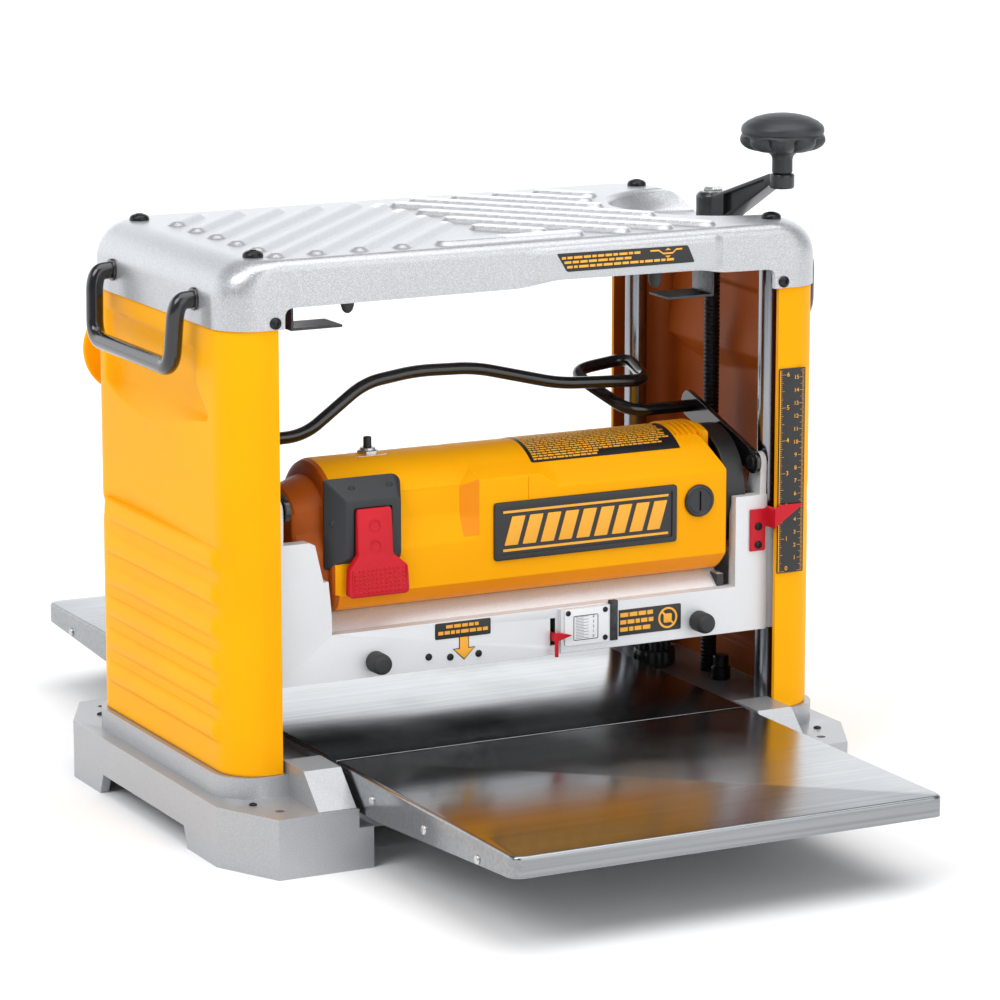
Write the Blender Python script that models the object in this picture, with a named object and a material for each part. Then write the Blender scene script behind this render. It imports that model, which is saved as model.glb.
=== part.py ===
"""Portable thickness planer.

Frame: +Z up, the infeed table at -Y, the crank side at +X. The origin is on
the surface that the feet stand on, midway between the four columns.
"""
import math

import bmesh
import bpy
from mathutils import Matrix, Vector

for _old in list(bpy.data.objects):
    bpy.data.objects.remove(_old, do_unlink=True)

# ---------------------------------------------------------------- dimensions
GAP = 0.0003             # clearance kept between pieces that touch
RUN = 0.0003             # radial clearance of a turning or sliding fit

# bed and folding tables
BED_Z = 0.0702           # working surface above the floor
BED_T = 0.0036
BED_X = 0.1711           # half width
BED_Y = 0.1459           # half length
TABLE_IN_Y = 0.1472
TABLE_OUT_Y = 0.4265
TABLE_T = 0.0024
TABLE_LIP = 0.0150       # height of the outer lip
TABLE_DEEP_Z = 0.0412    # lowest line of the side flange
TABLE_PIN_Y = 0.1574
TABLE_PIN_Z = 0.0655
TABLE_PIN_R = 0.0026

# base casting
BASE_X = 0.2630
BASE_Y = 0.1900
BASE_CUT_X = 0.0260      # corner chamfer
BASE_CUT_Y = 0.0520
DECK_Z = 0.0450
DECK_UNDER_Z = 0.0380
BASE_WALL = 0.0070
ARCH_H = 0.0160
FOOT_IN_X = 0.1620
FOOT_IN_Y = 0.0850
PLINTH_X = 0.2510
PLINTH_Y = 0.1350
PLINTH_R = 0.0320
PLINTH_Z = 0.0607
HINGE_BLOCK_X0 = 0.1744
HINGE_BLOCK_X1 = 0.2040

# side panels
PANEL_X = 0.2465
PANEL_IN_X = 0.2065
PANEL_Y = 0.1310
PANEL_R = 0.0280
PANEL_T = 0.0035
PANEL_TOP = 0.3870
RIB_Z = (0.0905, 0.1160, 0.1415, 0.1670, 0.1915, 0.2165)
RIB_Y0 = -0.1100
RIB_Y1 = 0.1050
RIB_OUT = 0.0030
RIB_HALF = 0.0065

# top cover
COVER_X = 0.2480
COVER_Y = 0.1325
COVER_TOP = 0.4366
COVER_T = 0.0040
COVER_SIDE_R = 0.0280    # rounding of the long shoulders
COVER_FRONT_R = 0.0080
OPENING_X = 0.2040
OPENING_TOP = 0.4020
SCOOP_R = 0.0820
SCOOP_FLOOR_R = 0.0720
SCOOP_FLOOR = 0.4185
SCOOP_T = 0.0030
SCREW_X = 0.2143
SCREW_Y = 0.1050
SCREW_R = 0.0075

# columns and lead screws
COLUMN_X = 0.2145
COLUMN_Y = 0.1050
COLUMN_R = 0.0090
LEAD_X = 0.2240
LEAD_R = 0.0065
SPROCKET_R = 0.0170
SPROCKET_Z0 = 0.0220
CHAIN_T = 0.0040

# crank
HUB_R = 0.0130
HUB_TOP = 0.4440
CRANK_R = 0.0840
CRANK_ANGLE = math.radians(-81.4)
BOSS_R = 0.0095
BOSS_TOP = 0.4670
KNOB_R = 0.0330
KNOB_TOP = 0.5130

# head casting
HEAD_X = 0.2050
HEAD_Y = 0.1200
HEAD_BACK = 0.1120
HEAD_Z = 0.1220
PLATE_T = 0.0100
DECK_TOP = 0.1690
CHEEK_X = 0.1905
EAR_TOP = 0.2272
INNER_X0 = 0.1665
INNER_X1 = 0.1720
SLEEVE_R = 0.0145
SLEEVE_TOP = 0.2050
NUT_R = 0.0115
LEVER_Y = -0.1140
LEVER_Z = 0.2520
LEVER_PIN_R = 0.0035

# cutterhead and rollers
CUT_Z = 0.1435
CUT_BODY_R = 0.0170
CUT_R = 0.0200
CUT_HALF = 0.1630
CUT_SHAFT_R = 0.0080
ROLL_Y = 0.0620
ROLL_Z = 0.1360
ROLL_R = 0.0138
ROLL_SHAFT_R = 0.0060
CUT_PULLEY_R = 0.0160
MOTOR_PULLEY_R = 0.0096
PULLEY_X0 = 0.1765
PULLEY_X1 = 0.1845
BELT_T = 0.0022

# motor
MOTOR_Y = -0.0670
MOTOR_Z = 0.2290
MOTOR_R = 0.0490
MOTOR_X0 = -0.1580
MOTOR_X1 = 0.1720
MOTOR_BACK = -0.0180
MOTOR_LOW = 0.1702
MOTOR_WALL = 0.0035
BLOCK_X0 = -0.0410       # the front face stands further out from here on
COVER_IN_X = 0.1730
COVER_OUT_X = 0.1899

# small pieces
HANDLE_R = 0.0055
HANDLE_X = 0.2660
BAR_R = 0.0041
RULER_Z0 = 0.1671
RULER_Z1 = 0.3255
TURRET_X = 0.1960
TURRET_Y = 0.0380
TURRET_R = 0.0170


# ------------------------------------------------------------------- helpers
def material(name, colour, roughness, metallic):
    mat = bpy.data.materials.new(name)
    mat.use_nodes = True
    shader = mat.node_tree.nodes["Principled BSDF"]
    shader.inputs["Base Color"].default_value = (*colour, 1.0)
    shader.inputs["Roughness"].default_value = roughness
    shader.inputs["Metallic"].default_value = metallic
    mat.diffuse_color = (*colour, 1.0)
    return mat


YELLOW = (0.92, 0.46, 0.015)
SILVER = (0.50, 0.51, 0.52)
BLACK = (0.015, 0.015, 0.017)
STEEL = (0.60, 0.61, 0.62)
DARK = (0.045, 0.05, 0.055)
RED = (0.72, 0.02, 0.035)
RUBBER = (0.02, 0.02, 0.02)
WHITE = (0.80, 0.80, 0.78)


def dress(obj, colour, roughness, metallic):
    """Give the piece its own material."""
    obj.data.materials.clear()
    obj.data.materials.append(material(obj.name + "_mat", colour, roughness, metallic))
    return obj


def finish(bm, name, smooth=None):
    """Turn a bmesh into an object with its faces pointing out."""
    bmesh.ops.remove_doubles(bm, verts=bm.verts, dist=1e-6)
    bmesh.ops.recalc_face_normals(bm, faces=bm.faces)
    mesh = bpy.data.meshes.new(name)
    bm.to_mesh(mesh)
    bm.free()
    obj = bpy.data.objects.new(name, mesh)
    bpy.context.scene.collection.objects.link(obj)
    if smooth is not None:
        mesh.shade_smooth()
        mesh.set_sharp_from_angle(angle=math.radians(smooth))
    return obj


def box(name, x0, x1, y0, y1, z0, z1):
    bm = bmesh.new()
    made = bmesh.ops.create_cube(bm, size=1.0)
    size = Vector((x1 - x0, y1 - y0, z1 - z0))
    mid = Vector(((x0 + x1) / 2, (y0 + y1) / 2, (z0 + z1) / 2))
    bmesh.ops.scale(bm, vec=size, verts=made["verts"])
    bmesh.ops.translate(bm, vec=mid, verts=made["verts"])
    return finish(bm, name)


def prism(name, outline, axis, low, high, smooth=None):
    """Extrude a flat outline; it is given in the two axes other than `axis`, in xyz order."""
    def point(pair, level):
        co = list(pair)
        co.insert("xyz".index(axis), level)
        return co

    bm = bmesh.new()
    face = bm.faces.new([bm.verts.new(point(pair, low)) for pair in outline])
    made = bmesh.ops.extrude_face_region(bm, geom=[face])
    shift = point((0.0, 0.0), high - low)
    moved = [item for item in made["geom"] if isinstance(item, bmesh.types.BMVert)]
    bmesh.ops.translate(bm, vec=shift, verts=moved)
    return finish(bm, name, smooth)


def turned(name, profile, axis, centre, steps=24, smooth=30):
    """Spin a closed profile of (radius, height along the axis) once round the axis."""
    across = Vector((0, 1, 0)) if axis == "x" else Vector((1, 0, 0))
    along = {"x": Vector((1, 0, 0)), "y": Vector((0, 1, 0)), "z": Vector((0, 0, 1))}[axis]
    bm = bmesh.new()
    verts = [bm.verts.new(Vector(centre) + across * r + along * h) for r, h in profile]
    edges = []
    for first, second in zip(verts, verts[1:] + verts[:1]):
        if profile[verts.index(first)][0] > 0 or profile[verts.index(second)][0] > 0:
            edges.append(bm.edges.new((first, second)))
    bmesh.ops.spin(bm, geom=verts + edges, cent=centre, axis=along,
                   angle=2 * math.pi, steps=steps, use_duplicate=False)
    bmesh.ops.remove_doubles(bm, verts=bm.verts, dist=1e-6)
    bmesh.ops.dissolve_degenerate(bm, dist=1e-7, edges=bm.edges)
    return finish(bm, name, smooth)


def rod(name, axis, centre, radius, low, high, steps=24):
    return turned(name, [(0, low), (radius, low), (radius, high), (0, high)],
                  axis, centre, steps)


def rounded_rect(half_x, half_y, radius, corner=6):
    """Counter-clockwise outline of a rectangle with round corners."""
    points = []
    for quarter, (sx, sy) in enumerate(((1, 1), (-1, 1), (-1, -1), (1, -1))):
        for step in range(corner + 1):
            turn = math.radians(90) * (quarter + step / corner)
            points.append((sx * (half_x - radius) + radius * math.cos(turn),
                           sy * (half_y - radius) + radius * math.sin(turn)))
    return points


def arc(cy, cz, radius, start, end, count):
    points = []
    for step in range(count + 1):
        turn = math.radians(start + (end - start) * step / count)
        points.append((cy + radius * math.cos(turn), cz + radius * math.sin(turn)))
    return points


def two_circles(first, r1, second, r2, count=14):
    """Outline of the shape that a tight band takes round two circles."""
    (ay, az), (by, bz) = first, second
    run = math.hypot(by - ay, bz - az)
    heading = math.degrees(math.atan2(bz - az, by - ay))
    lean = math.degrees(math.acos((r1 - r2) / run))
    left = arc(ay, az, r1, heading + lean, heading + 360 - lean, count)
    right = arc(by, bz, r2, heading - lean, heading + lean, count)
    return left + right


def bent_path(corners, radius, steps=5):
    """Straight runs between corners, each corner eased with an arc of the bend radius."""
    path = [Vector(corners[0])]
    for before, corner, after in zip(corners, corners[1:], corners[2:]):
        corner = Vector(corner)
        back = (Vector(before) - corner)
        ahead = (Vector(after) - corner)
        half = back.angle(ahead) / 2
        reach = min(radius / math.tan(half), back.length * 0.48, ahead.length * 0.48)
        bend = reach * math.tan(half)
        back.normalize()
        ahead.normalize()
        middle = corner + (back + ahead).normalized() * bend / math.sin(half)
        start = corner + back * reach - middle
        end = corner + ahead * reach - middle
        long = start.length
        start.normalize()
        end.normalize()
        for step in range(steps + 1):
            path.append(middle + start.slerp(end, step / steps) * long)
    path.append(Vector(corners[-1]))
    return path


def tube(name, path, radius, sides=8):
    """Sweep a ring along a path, turning it as little as possible, with closed ends."""
    bm = bmesh.new()
    rings = []
    ahead = (path[1] - path[0]).normalized()
    side = ahead.orthogonal().normalized()
    for index, place in enumerate(path):
        before = path[max(index - 1, 0)]
        after = path[min(index + 1, len(path) - 1)]
        new_ahead = (after - before).normalized()
        side = (ahead.rotation_difference(new_ahead) @ side).normalized()
        ahead = new_ahead
        up = ahead.cross(side)
        ring = []
        for step in range(sides):
            turn = 2 * math.pi * step / sides
            ring.append(bm.verts.new(place + side * (radius * math.cos(turn))
                                     + up * (radius * math.sin(turn))))
        rings.append(ring)
    for ring, following in zip(rings, rings[1:]):
        for step in range(sides):
            bm.faces.new((ring[step], ring[(step + 1) % sides],
                          following[(step + 1) % sides], following[step]))
    bm.faces.new(list(reversed(rings[0])))
    bm.faces.new(rings[-1])
    return finish(bm, name, 40)


def combine(obj, other, operation):
    """Boolean with a helper shape, which stays in the scene as a wire guide.

    Guides that follow one another with the same operation share one modifier,
    so that they are worked out together and exactly.
    """
    other.hide_render = True
    other.display_type = "WIRE"
    last = obj.modifiers[-1] if obj.modifiers else None
    if last is None or last.operation != operation:
        last = obj.modifiers.new(operation.title(), "BOOLEAN")
        last.operation = operation
        last.solver = "EXACT"
        last.operand_type = "COLLECTION"
        last.collection = bpy.data.collections.new(f"{obj.name}_{operation.lower()}")
    last.collection.objects.link(other)
    return obj


def cut(obj, other):
    return combine(obj, other, "DIFFERENCE")


def fuse(obj, other):
    return combine(obj, other, "UNION")


def keep(obj, other):
    return combine(obj, other, "INTERSECT")


def pivot(obj, point):
    """Move the origin onto the joint's axis without moving the piece."""
    obj.data.transform(Matrix.Translation(-Vector(point)))
    obj.location = point
    return obj


# ---------------------------------------------------------------------- base
def base_outline(inset):
    """Plan of the base: chamfered corners, and a notch at each end for the table."""
    x = BASE_X - inset
    y = BASE_Y - inset
    cx = BASE_X - BASE_CUT_X - inset * 0.5
    cy = BASE_Y - BASE_CUT_Y - inset * 0.3
    fx = FOOT_IN_X + inset
    ny = BED_Y - inset if inset else BED_Y - 0.0004
    quarter = [(x, cy), (cx, y), (fx, y), (fx, ny)]
    points = list(quarter)
    points += [(-px, py) for px, py in reversed(quarter)]
    points += [(-px, -py) for px, py in quarter]
    points += [(px, -py) for px, py in reversed(quarter)]
    return points


def make_base():
    base = prism("base_casting", base_outline(0.0), "z", 0.0, DECK_Z)
    fuse(base, prism("g_plinth", rounded_rect(PLINTH_X, PLINTH_Y, PLINTH_R), "z",
                     DECK_UNDER_Z + 0.002, PLINTH_Z))
    top = BED_Z - BED_T - GAP
    fuse(base, box("g_bed_support", -BED_X, BED_X, -BED_Y + 0.0004, BED_Y - 0.0004,
                   DECK_UNDER_Z + 0.003, top))
    for sx in (-1, 1):
        for sy in (-1, 1):
            profile = [(sy * 0.1250, 0.0420), (sy * 0.1250, 0.0696), (sy * 0.1610, 0.0696),
                       (sy * 0.1865, 0.0455), (sy * 0.1865, 0.0420)]
            ends = sorted((sx * HINGE_BLOCK_X0, sx * HINGE_BLOCK_X1))
            fuse(base, prism("g_hinge_block", profile, "x", ends[0], ends[1]))
    cut(base, prism("g_hollow", base_outline(BASE_WALL), "z", -0.01, DECK_UNDER_Z))
    cut(base, box("g_bed_hollow", -BED_X + 0.009, BED_X - 0.009, -BED_Y + 0.0105,
                  BED_Y - 0.0105, 0.02, top - 0.006))
    slope = 0.007
    cut(base, prism("g_side_arch",
                    [(-FOOT_IN_Y, -0.001), (-FOOT_IN_Y + slope, ARCH_H),
                     (FOOT_IN_Y - slope, ARCH_H), (FOOT_IN_Y, -0.001)], "x", -0.3, 0.3))
    cut(base, box("g_end_arch", -FOOT_IN_X + slope, FOOT_IN_X - slope, -0.3, 0.3,
                  -0.001, ARCH_H))
    for sx in (-1, 1):
        for sy in (-1, 1):
            xs = sorted((sx * (FOOT_IN_X - 0.01), sx * (HINGE_BLOCK_X0 - 0.0008)))
            ys = sorted((sy * (BED_Y - 0.0004), sy * 0.2000))
            cut(base, box("g_flange_room", xs[0], xs[1], ys[0], ys[1], 0.0310, 0.0900))
            cut(base, rod("g_column_bore", "z", (sx * COLUMN_X, sy * COLUMN_Y, 0),
                          COLUMN_R + RUN, 0.03, 0.07, 20))
            cut(base, rod("g_mount_hole", "z", (sx * 0.2265, sy * 0.1687, 0), 0.0035,
                          0.03, 0.06, 12))
            cut(base, rod("g_small_hole", "z", (sx * 0.2372, sy * 0.1454, 0), 0.0015,
                          0.03, 0.06, 8))
            cut(base, rod("g_pin_bore", "x", (0, sy * TABLE_PIN_Y, TABLE_PIN_Z),
                          TABLE_PIN_R + RUN, min(sx * 0.170, sx * 0.196),
                          max(sx * 0.170, sx * 0.196), 12))
        cut(base, rod("g_lead_bore", "z", (sx * LEAD_X, 0, 0), LEAD_R + RUN, 0.03, 0.07, 16))
    cut(base, rod("g_turret_bore", "z", (TURRET_X, TURRET_Y, 0), 0.0040 + RUN,
                  0.03, 0.07, 16))
    return dress(base, SILVER, 0.42, 0.75)


def make_bed():
    bed = box("bed_plate", -BED_X, BED_X, -BED_Y, BED_Y, BED_Z - BED_T, BED_Z)
    return dress(bed, STEEL, 0.18, 1.0)


def make_table(name, side):
    """Folded sheet table with a lip and deep side flanges, and its two hinge pins."""
    low = BED_Z - TABLE_LIP
    profile = [(TABLE_IN_Y, BED_Z), (TABLE_OUT_Y - 0.0015, BED_Z),
               (TABLE_OUT_Y, BED_Z - 0.0015), (TABLE_OUT_Y, low),
               (0.4120, low - 0.0012), (0.2160, TABLE_DEEP_Z), (0.1720, TABLE_DEEP_Z),
               (TABLE_IN_Y, BED_Z - 0.0085)]
    if side < 0:
        profile = [(-y, z) for y, z in profile]
    table = prism(name, profile, "x", -BED_X, BED_X)
    ys = sorted((side * (TABLE_IN_Y - 0.01), side * (TABLE_OUT_Y - TABLE_T)))
    cut(table, box("g_table_under", -BED_X + TABLE_T, BED_X - TABLE_T, ys[0], ys[1],
                   0.02, BED_Z - TABLE_T))
    axis = (0, side * TABLE_PIN_Y, TABLE_PIN_Z)
    for sx in (-1, 1):
        ends = sorted((sx * (BED_X - 0.0015), sx * (BED_X + 0.0200)))
        fuse(table, rod("g_table_pin", "x", axis, TABLE_PIN_R, ends[0], ends[1], 16))
    dress(table, STEEL, 0.16, 1.0)
    return pivot(table, axis)


# ------------------------------------------------------------- frame pieces
def make_panel(name, side):
    """Moulded C-shaped side panel, ribbed on its lower half."""
    def c_shape(grow, inner):
        out_x = PANEL_X - grow
        out_y = PANEL_Y - grow
        r = PANEL_R - grow
        points = [(inner, -out_y)]
        points += [(x, y) for x, y in arc(out_x - r, -out_y + r, r, -90, 0, 7)]
        points += [(x, y) for x, y in arc(out_x - r, out_y - r, r, 0, 90, 7)]
        points += [(inner, out_y)]
        return points

    outline = c_shape(0.0, PANEL_IN_X) + list(reversed(c_shape(PANEL_T, PANEL_IN_X)))
    if side < 0:
        outline = [(-x, y) for x, y in outline]
    panel = prism(name, outline, "z", PLINTH_Z + GAP, PANEL_TOP)
    for number, z in enumerate(RIB_Z):
        face = PANEL_X - 0.0010
        shape = [(face, z - RIB_HALF), (PANEL_X + RIB_OUT, z - 0.0022),
                 (PANEL_X + RIB_OUT, z + 0.0022), (face, z + RIB_HALF)]
        shape = [(side * x, level) for x, level in shape]
        fuse(panel, prism(f"g_rib_{number}", shape, "y", RIB_Y0, RIB_Y1 - 0.004))
    return dress(panel, YELLOW, 0.32, 0.0)


def make_cover():
    """Pillow-shaped top casting, hollow below, with a scoop round the crank hub."""
    bm = bmesh.new()
    levels = [PANEL_TOP + GAP, COVER_TOP - COVER_SIDE_R]
    for step in (0.30, 0.55, 0.72):
        levels.append(COVER_TOP - COVER_SIDE_R * (1 - step))
    for step in (0.35, 0.65, 0.88, 1.0):
        levels.append(COVER_TOP - COVER_FRONT_R * (1 - step))
    rings = []
    for z in levels:
        rise_x = max(0.0, (z - (COVER_TOP - COVER_SIDE_R)) / COVER_SIDE_R)
        rise_y = max(0.0, (z - (COVER_TOP - COVER_FRONT_R)) / COVER_FRONT_R)
        in_x = COVER_SIDE_R * (1 - math.sqrt(max(0.0, 1 - rise_x * rise_x)))
        in_y = COVER_FRONT_R * (1 - math.sqrt(max(0.0, 1 - rise_y * rise_y)))
        outline = rounded_rect(COVER_X - in_x, COVER_Y - in_y, PANEL_R + 0.0015, 6)
        rings.append([bm.verts.new((x, y, z)) for x, y in outline])
    for ring, above in zip(rings, rings[1:]):
        for step in range(len(ring)):
            after = (step + 1) % len(ring)
            bm.faces.new((ring[step], ring[after], above[after], above[step]))
    bm.faces.new(list(reversed(rings[0])))
    bm.faces.new(rings[-1])
    cover = finish(bm, "top_cover")
    wall = COVER_T
    room = prism("g_cover_room", rounded_rect(COVER_X - wall, COVER_Y - wall, PANEL_R),
                 "z", 0.3800, 0.4120)
    fuse(room, box("g_cover_attic", -COVER_X + 0.022, COVER_X - 0.022,
                   -COVER_Y + wall, COVER_Y - wall, 0.4000, COVER_TOP - wall))
    centre = (LEAD_X, 0, 0)
    over = COVER_TOP + 0.01
    slope = (SCOOP_R - SCOOP_FLOOR_R) / (COVER_TOP - SCOOP_FLOOR)
    cut(room, turned("g_scoop_skin",
                     [(0, SCOOP_FLOOR - SCOOP_T), (SCOOP_FLOOR_R + wall, SCOOP_FLOOR - SCOOP_T),
                      (SCOOP_R + wall + slope * 0.012, over), (0, over)],
                     "z", centre, 40))
    cut(cover, room)
    cut(cover, turned("g_scoop",
                      [(0, SCOOP_FLOOR), (SCOOP_FLOOR_R, SCOOP_FLOOR),
                       (SCOOP_R + slope * 0.01, over), (0, over)], "z", centre, 40))
    cut(cover, rod("g_hub_hole", "z", centre, LEAD_R + 0.0005, 0.40, 0.43))
    cut(cover, box("g_opening", -OPENING_X, OPENING_X, -0.2, 0.2, 0.36, OPENING_TOP))
    return dress(cover, SILVER, 0.40, 0.75)


def make_frame_small():
    for sx, side in ((-1, "left"), (1, "right")):
        for sy, end in ((-1, "front"), (1, "rear")):
            column = rod(f"column_{end}_{side}", "z", (sx * COLUMN_X, sy * COLUMN_Y, 0),
                         COLUMN_R, 0.0400, COVER_TOP - COVER_T - GAP, 20)
            dress(column, STEEL, 0.2, 1.0)
            top = COVER_TOP + GAP
            screw = turned(f"cover_screw_{end}_{side}",
                           [(0, top), (SCREW_R, top), (SCREW_R * 0.92, top + 0.0016),
                            (SCREW_R * 0.62, top + 0.0036), (0, top + 0.0045)],
                           "z", (sx * SCREW_X, sy * SCREW_Y, 0), 12)
            dress(screw, BLACK, 0.3, 0.4)
        corners = [(-COVER_X - GAP, 0.0770, 0.4060), (-0.2620, 0.0770, 0.4060),
                   (-HANDLE_X, 0.0680, 0.3560), (-HANDLE_X, -0.0680, 0.3560),
                   (-0.2620, -0.0770, 0.4060), (-COVER_X - GAP, -0.0770, 0.4060)]
        corners = [(-sx * x, y, z) for x, y, z in corners]
        handle = tube(f"carry_handle_{side}", bent_path(corners, 0.010, 3), HANDLE_R, 8)
        dress(handle, BLACK, 0.25, 0.3)
    for name, post, tip in (("cover_bracket_left", -0.1945, -0.1540),
                            ("cover_bracket_right", 0.1530, 0.1140)):
        inward = 0.002 if tip > post else -0.002
        shape = [(post, 0.3845), (tip, 0.3845), (tip, 0.3865), (post + inward, 0.3865),
                 (post + inward, COVER_TOP - COVER_T - GAP),
                 (post, COVER_TOP - COVER_T - GAP)]
        bracket = prism(name, shape, "y", -0.1260, -0.0960)
        dress(bracket, STEEL, 0.35, 1.0)
    ruler = box("height_scale", 0.2072, 0.2300, -PANEL_Y - GAP - 0.0010, -PANEL_Y - GAP,
                RULER_Z0, RULER_Z1)
    dress(ruler, BLACK, 0.4, 0.0)
    wrap = turned("cord_wrap",
                  [(0, 0.1313), (0.0200, 0.1313), (0.0200, 0.1460), (0.0360, 0.1480),
                   (0.0360, 0.1515), (0.0300, 0.1545), (0, 0.1550)],
                  "y", (-0.2080, 0, 0.3330), 28)
    dress(wrap, YELLOW, 0.32, 0.0)
    post = turned("stop_post",
                  [(0, PLINTH_Z + GAP), (0.0078, PLINTH_Z + GAP), (0.0078, 0.0700),
                   (0.0062, 0.0715), (0.0062, 0.0790), (0, 0.0800)],
                  "z", (0.2180, -0.0300, 0), 16)
    dress(post, DARK, 0.4, 0.6)


def make_turret():
    """Knurled wheel with a stair of stops, on a spindle in the base."""
    bm = bmesh.new()
    rings = []
    for z in (PLINTH_Z + 0.0010, PLINTH_Z + 0.0130):
        ring = []
        for step in range(48):
            turn = 2 * math.pi * step / 48
            r = TURRET_R if step % 4 < 2 else TURRET_R - 0.0012
            ring.append(bm.verts.new((TURRET_X + r * math.cos(turn),
                                      TURRET_Y + r * math.sin(turn), z)))
        rings.append(ring)
    for step in range(48):
        after = (step + 1) % 48
        bm.faces.new((rings[0][step], rings[0][after], rings[1][after], rings[1][step]))
    bm.faces.new(list(reversed(rings[0])))
    bm.faces.new(rings[1])
    turret = finish(bm, "depth_stop_turret")
    fuse(turret, rod("g_turret_spindle", "z", (TURRET_X, TURRET_Y, 0), 0.0040,
                     0.0450, PLINTH_Z + 0.0040, 16))
    for step in range(6):
        turn = math.radians(60 * step)
        fuse(turret, rod(f"g_turret_step_{step}", "z",
                         (TURRET_X + 0.0105 * math.cos(turn),
                          TURRET_Y + 0.0105 * math.sin(turn), 0),
                         0.0042, PLINTH_Z + 0.010, PLINTH_Z + 0.0145 + 0.0014 * step, 8))
    dress(turret, DARK, 0.45, 0.2)
    return pivot(turret, (TURRET_X, TURRET_Y, PLINTH_Z))


def make_drive_below():
    """Lead screws with their sprockets, and the chain that ties them."""
    top = {-1: COVER_TOP - COVER_SIDE_R + 0.0014, 1: HUB_TOP - 0.0250 - GAP}
    for sx, side in ((-1, "left"), (1, "right")):
        screw = rod(f"lead_screw_{side}", "z", (sx * LEAD_X, 0, 0), LEAD_R,
                    SPROCKET_Z0 + 0.0110 + GAP, top[sx], 16)
        dress(screw, BLACK, 0.35, 0.8)
        pivot(screw, (sx * LEAD_X, 0, 0))
        outline = []
        for tooth in range(14):
            for part, r in ((0.0, SPROCKET_R - 0.0022), (0.30, SPROCKET_R - 0.0022),
                            (0.45, SPROCKET_R), (0.80, SPROCKET_R)):
                turn = 2 * math.pi * (tooth + part) / 14
                outline.append((sx * LEAD_X + r * math.cos(turn), r * math.sin(turn)))
        wheel = prism(f"sprocket_{side}", outline, "z", SPROCKET_Z0, SPROCKET_Z0 + 0.0110)
        dress(wheel, STEEL, 0.4, 1.0)
        pivot(wheel, (sx * LEAD_X, 0, 0))
    inner = SPROCKET_R + 0.0006
    ends = ((-LEAD_X, 0.0), (LEAD_X, 0.0))
    chain = prism("lift_chain", two_circles(ends[0], inner + CHAIN_T, ends[1],
                                            inner + CHAIN_T - 1e-6), "z",
                  SPROCKET_Z0 + 0.002, SPROCKET_Z0 + 0.009)
    cut(chain, prism("g_chain_room", two_circles(ends[0], inner, ends[1], inner - 1e-6),
                     "z", SPROCKET_Z0 - 0.01, SPROCKET_Z0 + 0.03))
    dress(chain, DARK, 0.45, 0.9)


# --------------------------------------------------------------------- crank
def make_crank():
    """Height crank: hub on the right lead screw, rising arm, and a free knob."""
    low = HUB_TOP - 0.0250
    side = [(-0.0100, low + 0.002), (0.0260, low + 0.002), (CRANK_R - 0.008, BOSS_TOP - 0.0105),
            (CRANK_R, BOSS_TOP - 0.0105), (CRANK_R, BOSS_TOP - 0.0005),
            (CRANK_R - 0.009, BOSS_TOP - 0.0005), (0.0140, HUB_TOP - 0.0010),
            (-0.0100, HUB_TOP - 0.0010)]
    arm = prism("crank_arm", side, "y", -0.0065, 0.0065)
    fuse(arm, rod("g_hub", "z", (0, 0, 0), HUB_R, low, HUB_TOP, 20))
    fuse(arm, rod("g_boss", "z", (CRANK_R, 0, 0), BOSS_R, BOSS_TOP - 0.0115, BOSS_TOP, 16))
    for guide in [arm] + list(arm.modifiers[0].collection.objects):
        guide.data.transform(Matrix.Rotation(CRANK_ANGLE, 4, "Z"))
        guide.location = (LEAD_X, 0, 0)
    dress(arm, DARK, 0.38, 0.1)
    end = (LEAD_X + CRANK_R * math.cos(CRANK_ANGLE), CRANK_R * math.sin(CRANK_ANGLE), 0)
    z0 = BOSS_TOP + GAP
    bolt = turned("crank_bolt", [(0, HUB_TOP + GAP), (0.0085, HUB_TOP + GAP),
                                 (0.0085, HUB_TOP + 0.0030), (0.0070, HUB_TOP + 0.0040),
                                 (0, HUB_TOP + 0.0040)], "z", (LEAD_X, 0, 0), 12)
    dress(bolt, STEEL, 0.3, 1.0)
    pivot(bolt, (LEAD_X, 0, 0))
    knob = turned("crank_knob",
                  [(0, z0), (0.0098, z0), (0.0095, z0 + 0.0100), (0.0125, z0 + 0.0165),
                   (0.0250, z0 + 0.0175), (0.0310, z0 + 0.0205), (KNOB_R, z0 + 0.0250),
                   (KNOB_R - 0.0006, z0 + 0.0320), (0.0295, z0 + 0.0375),
                   (0.0220, z0 + 0.0420), (0.0110, KNOB_TOP - 0.0009), (0, KNOB_TOP)],
                  "z", end, 32)
    dress(knob, DARK, 0.5, 0.0)
    pivot(knob, end)


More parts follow.
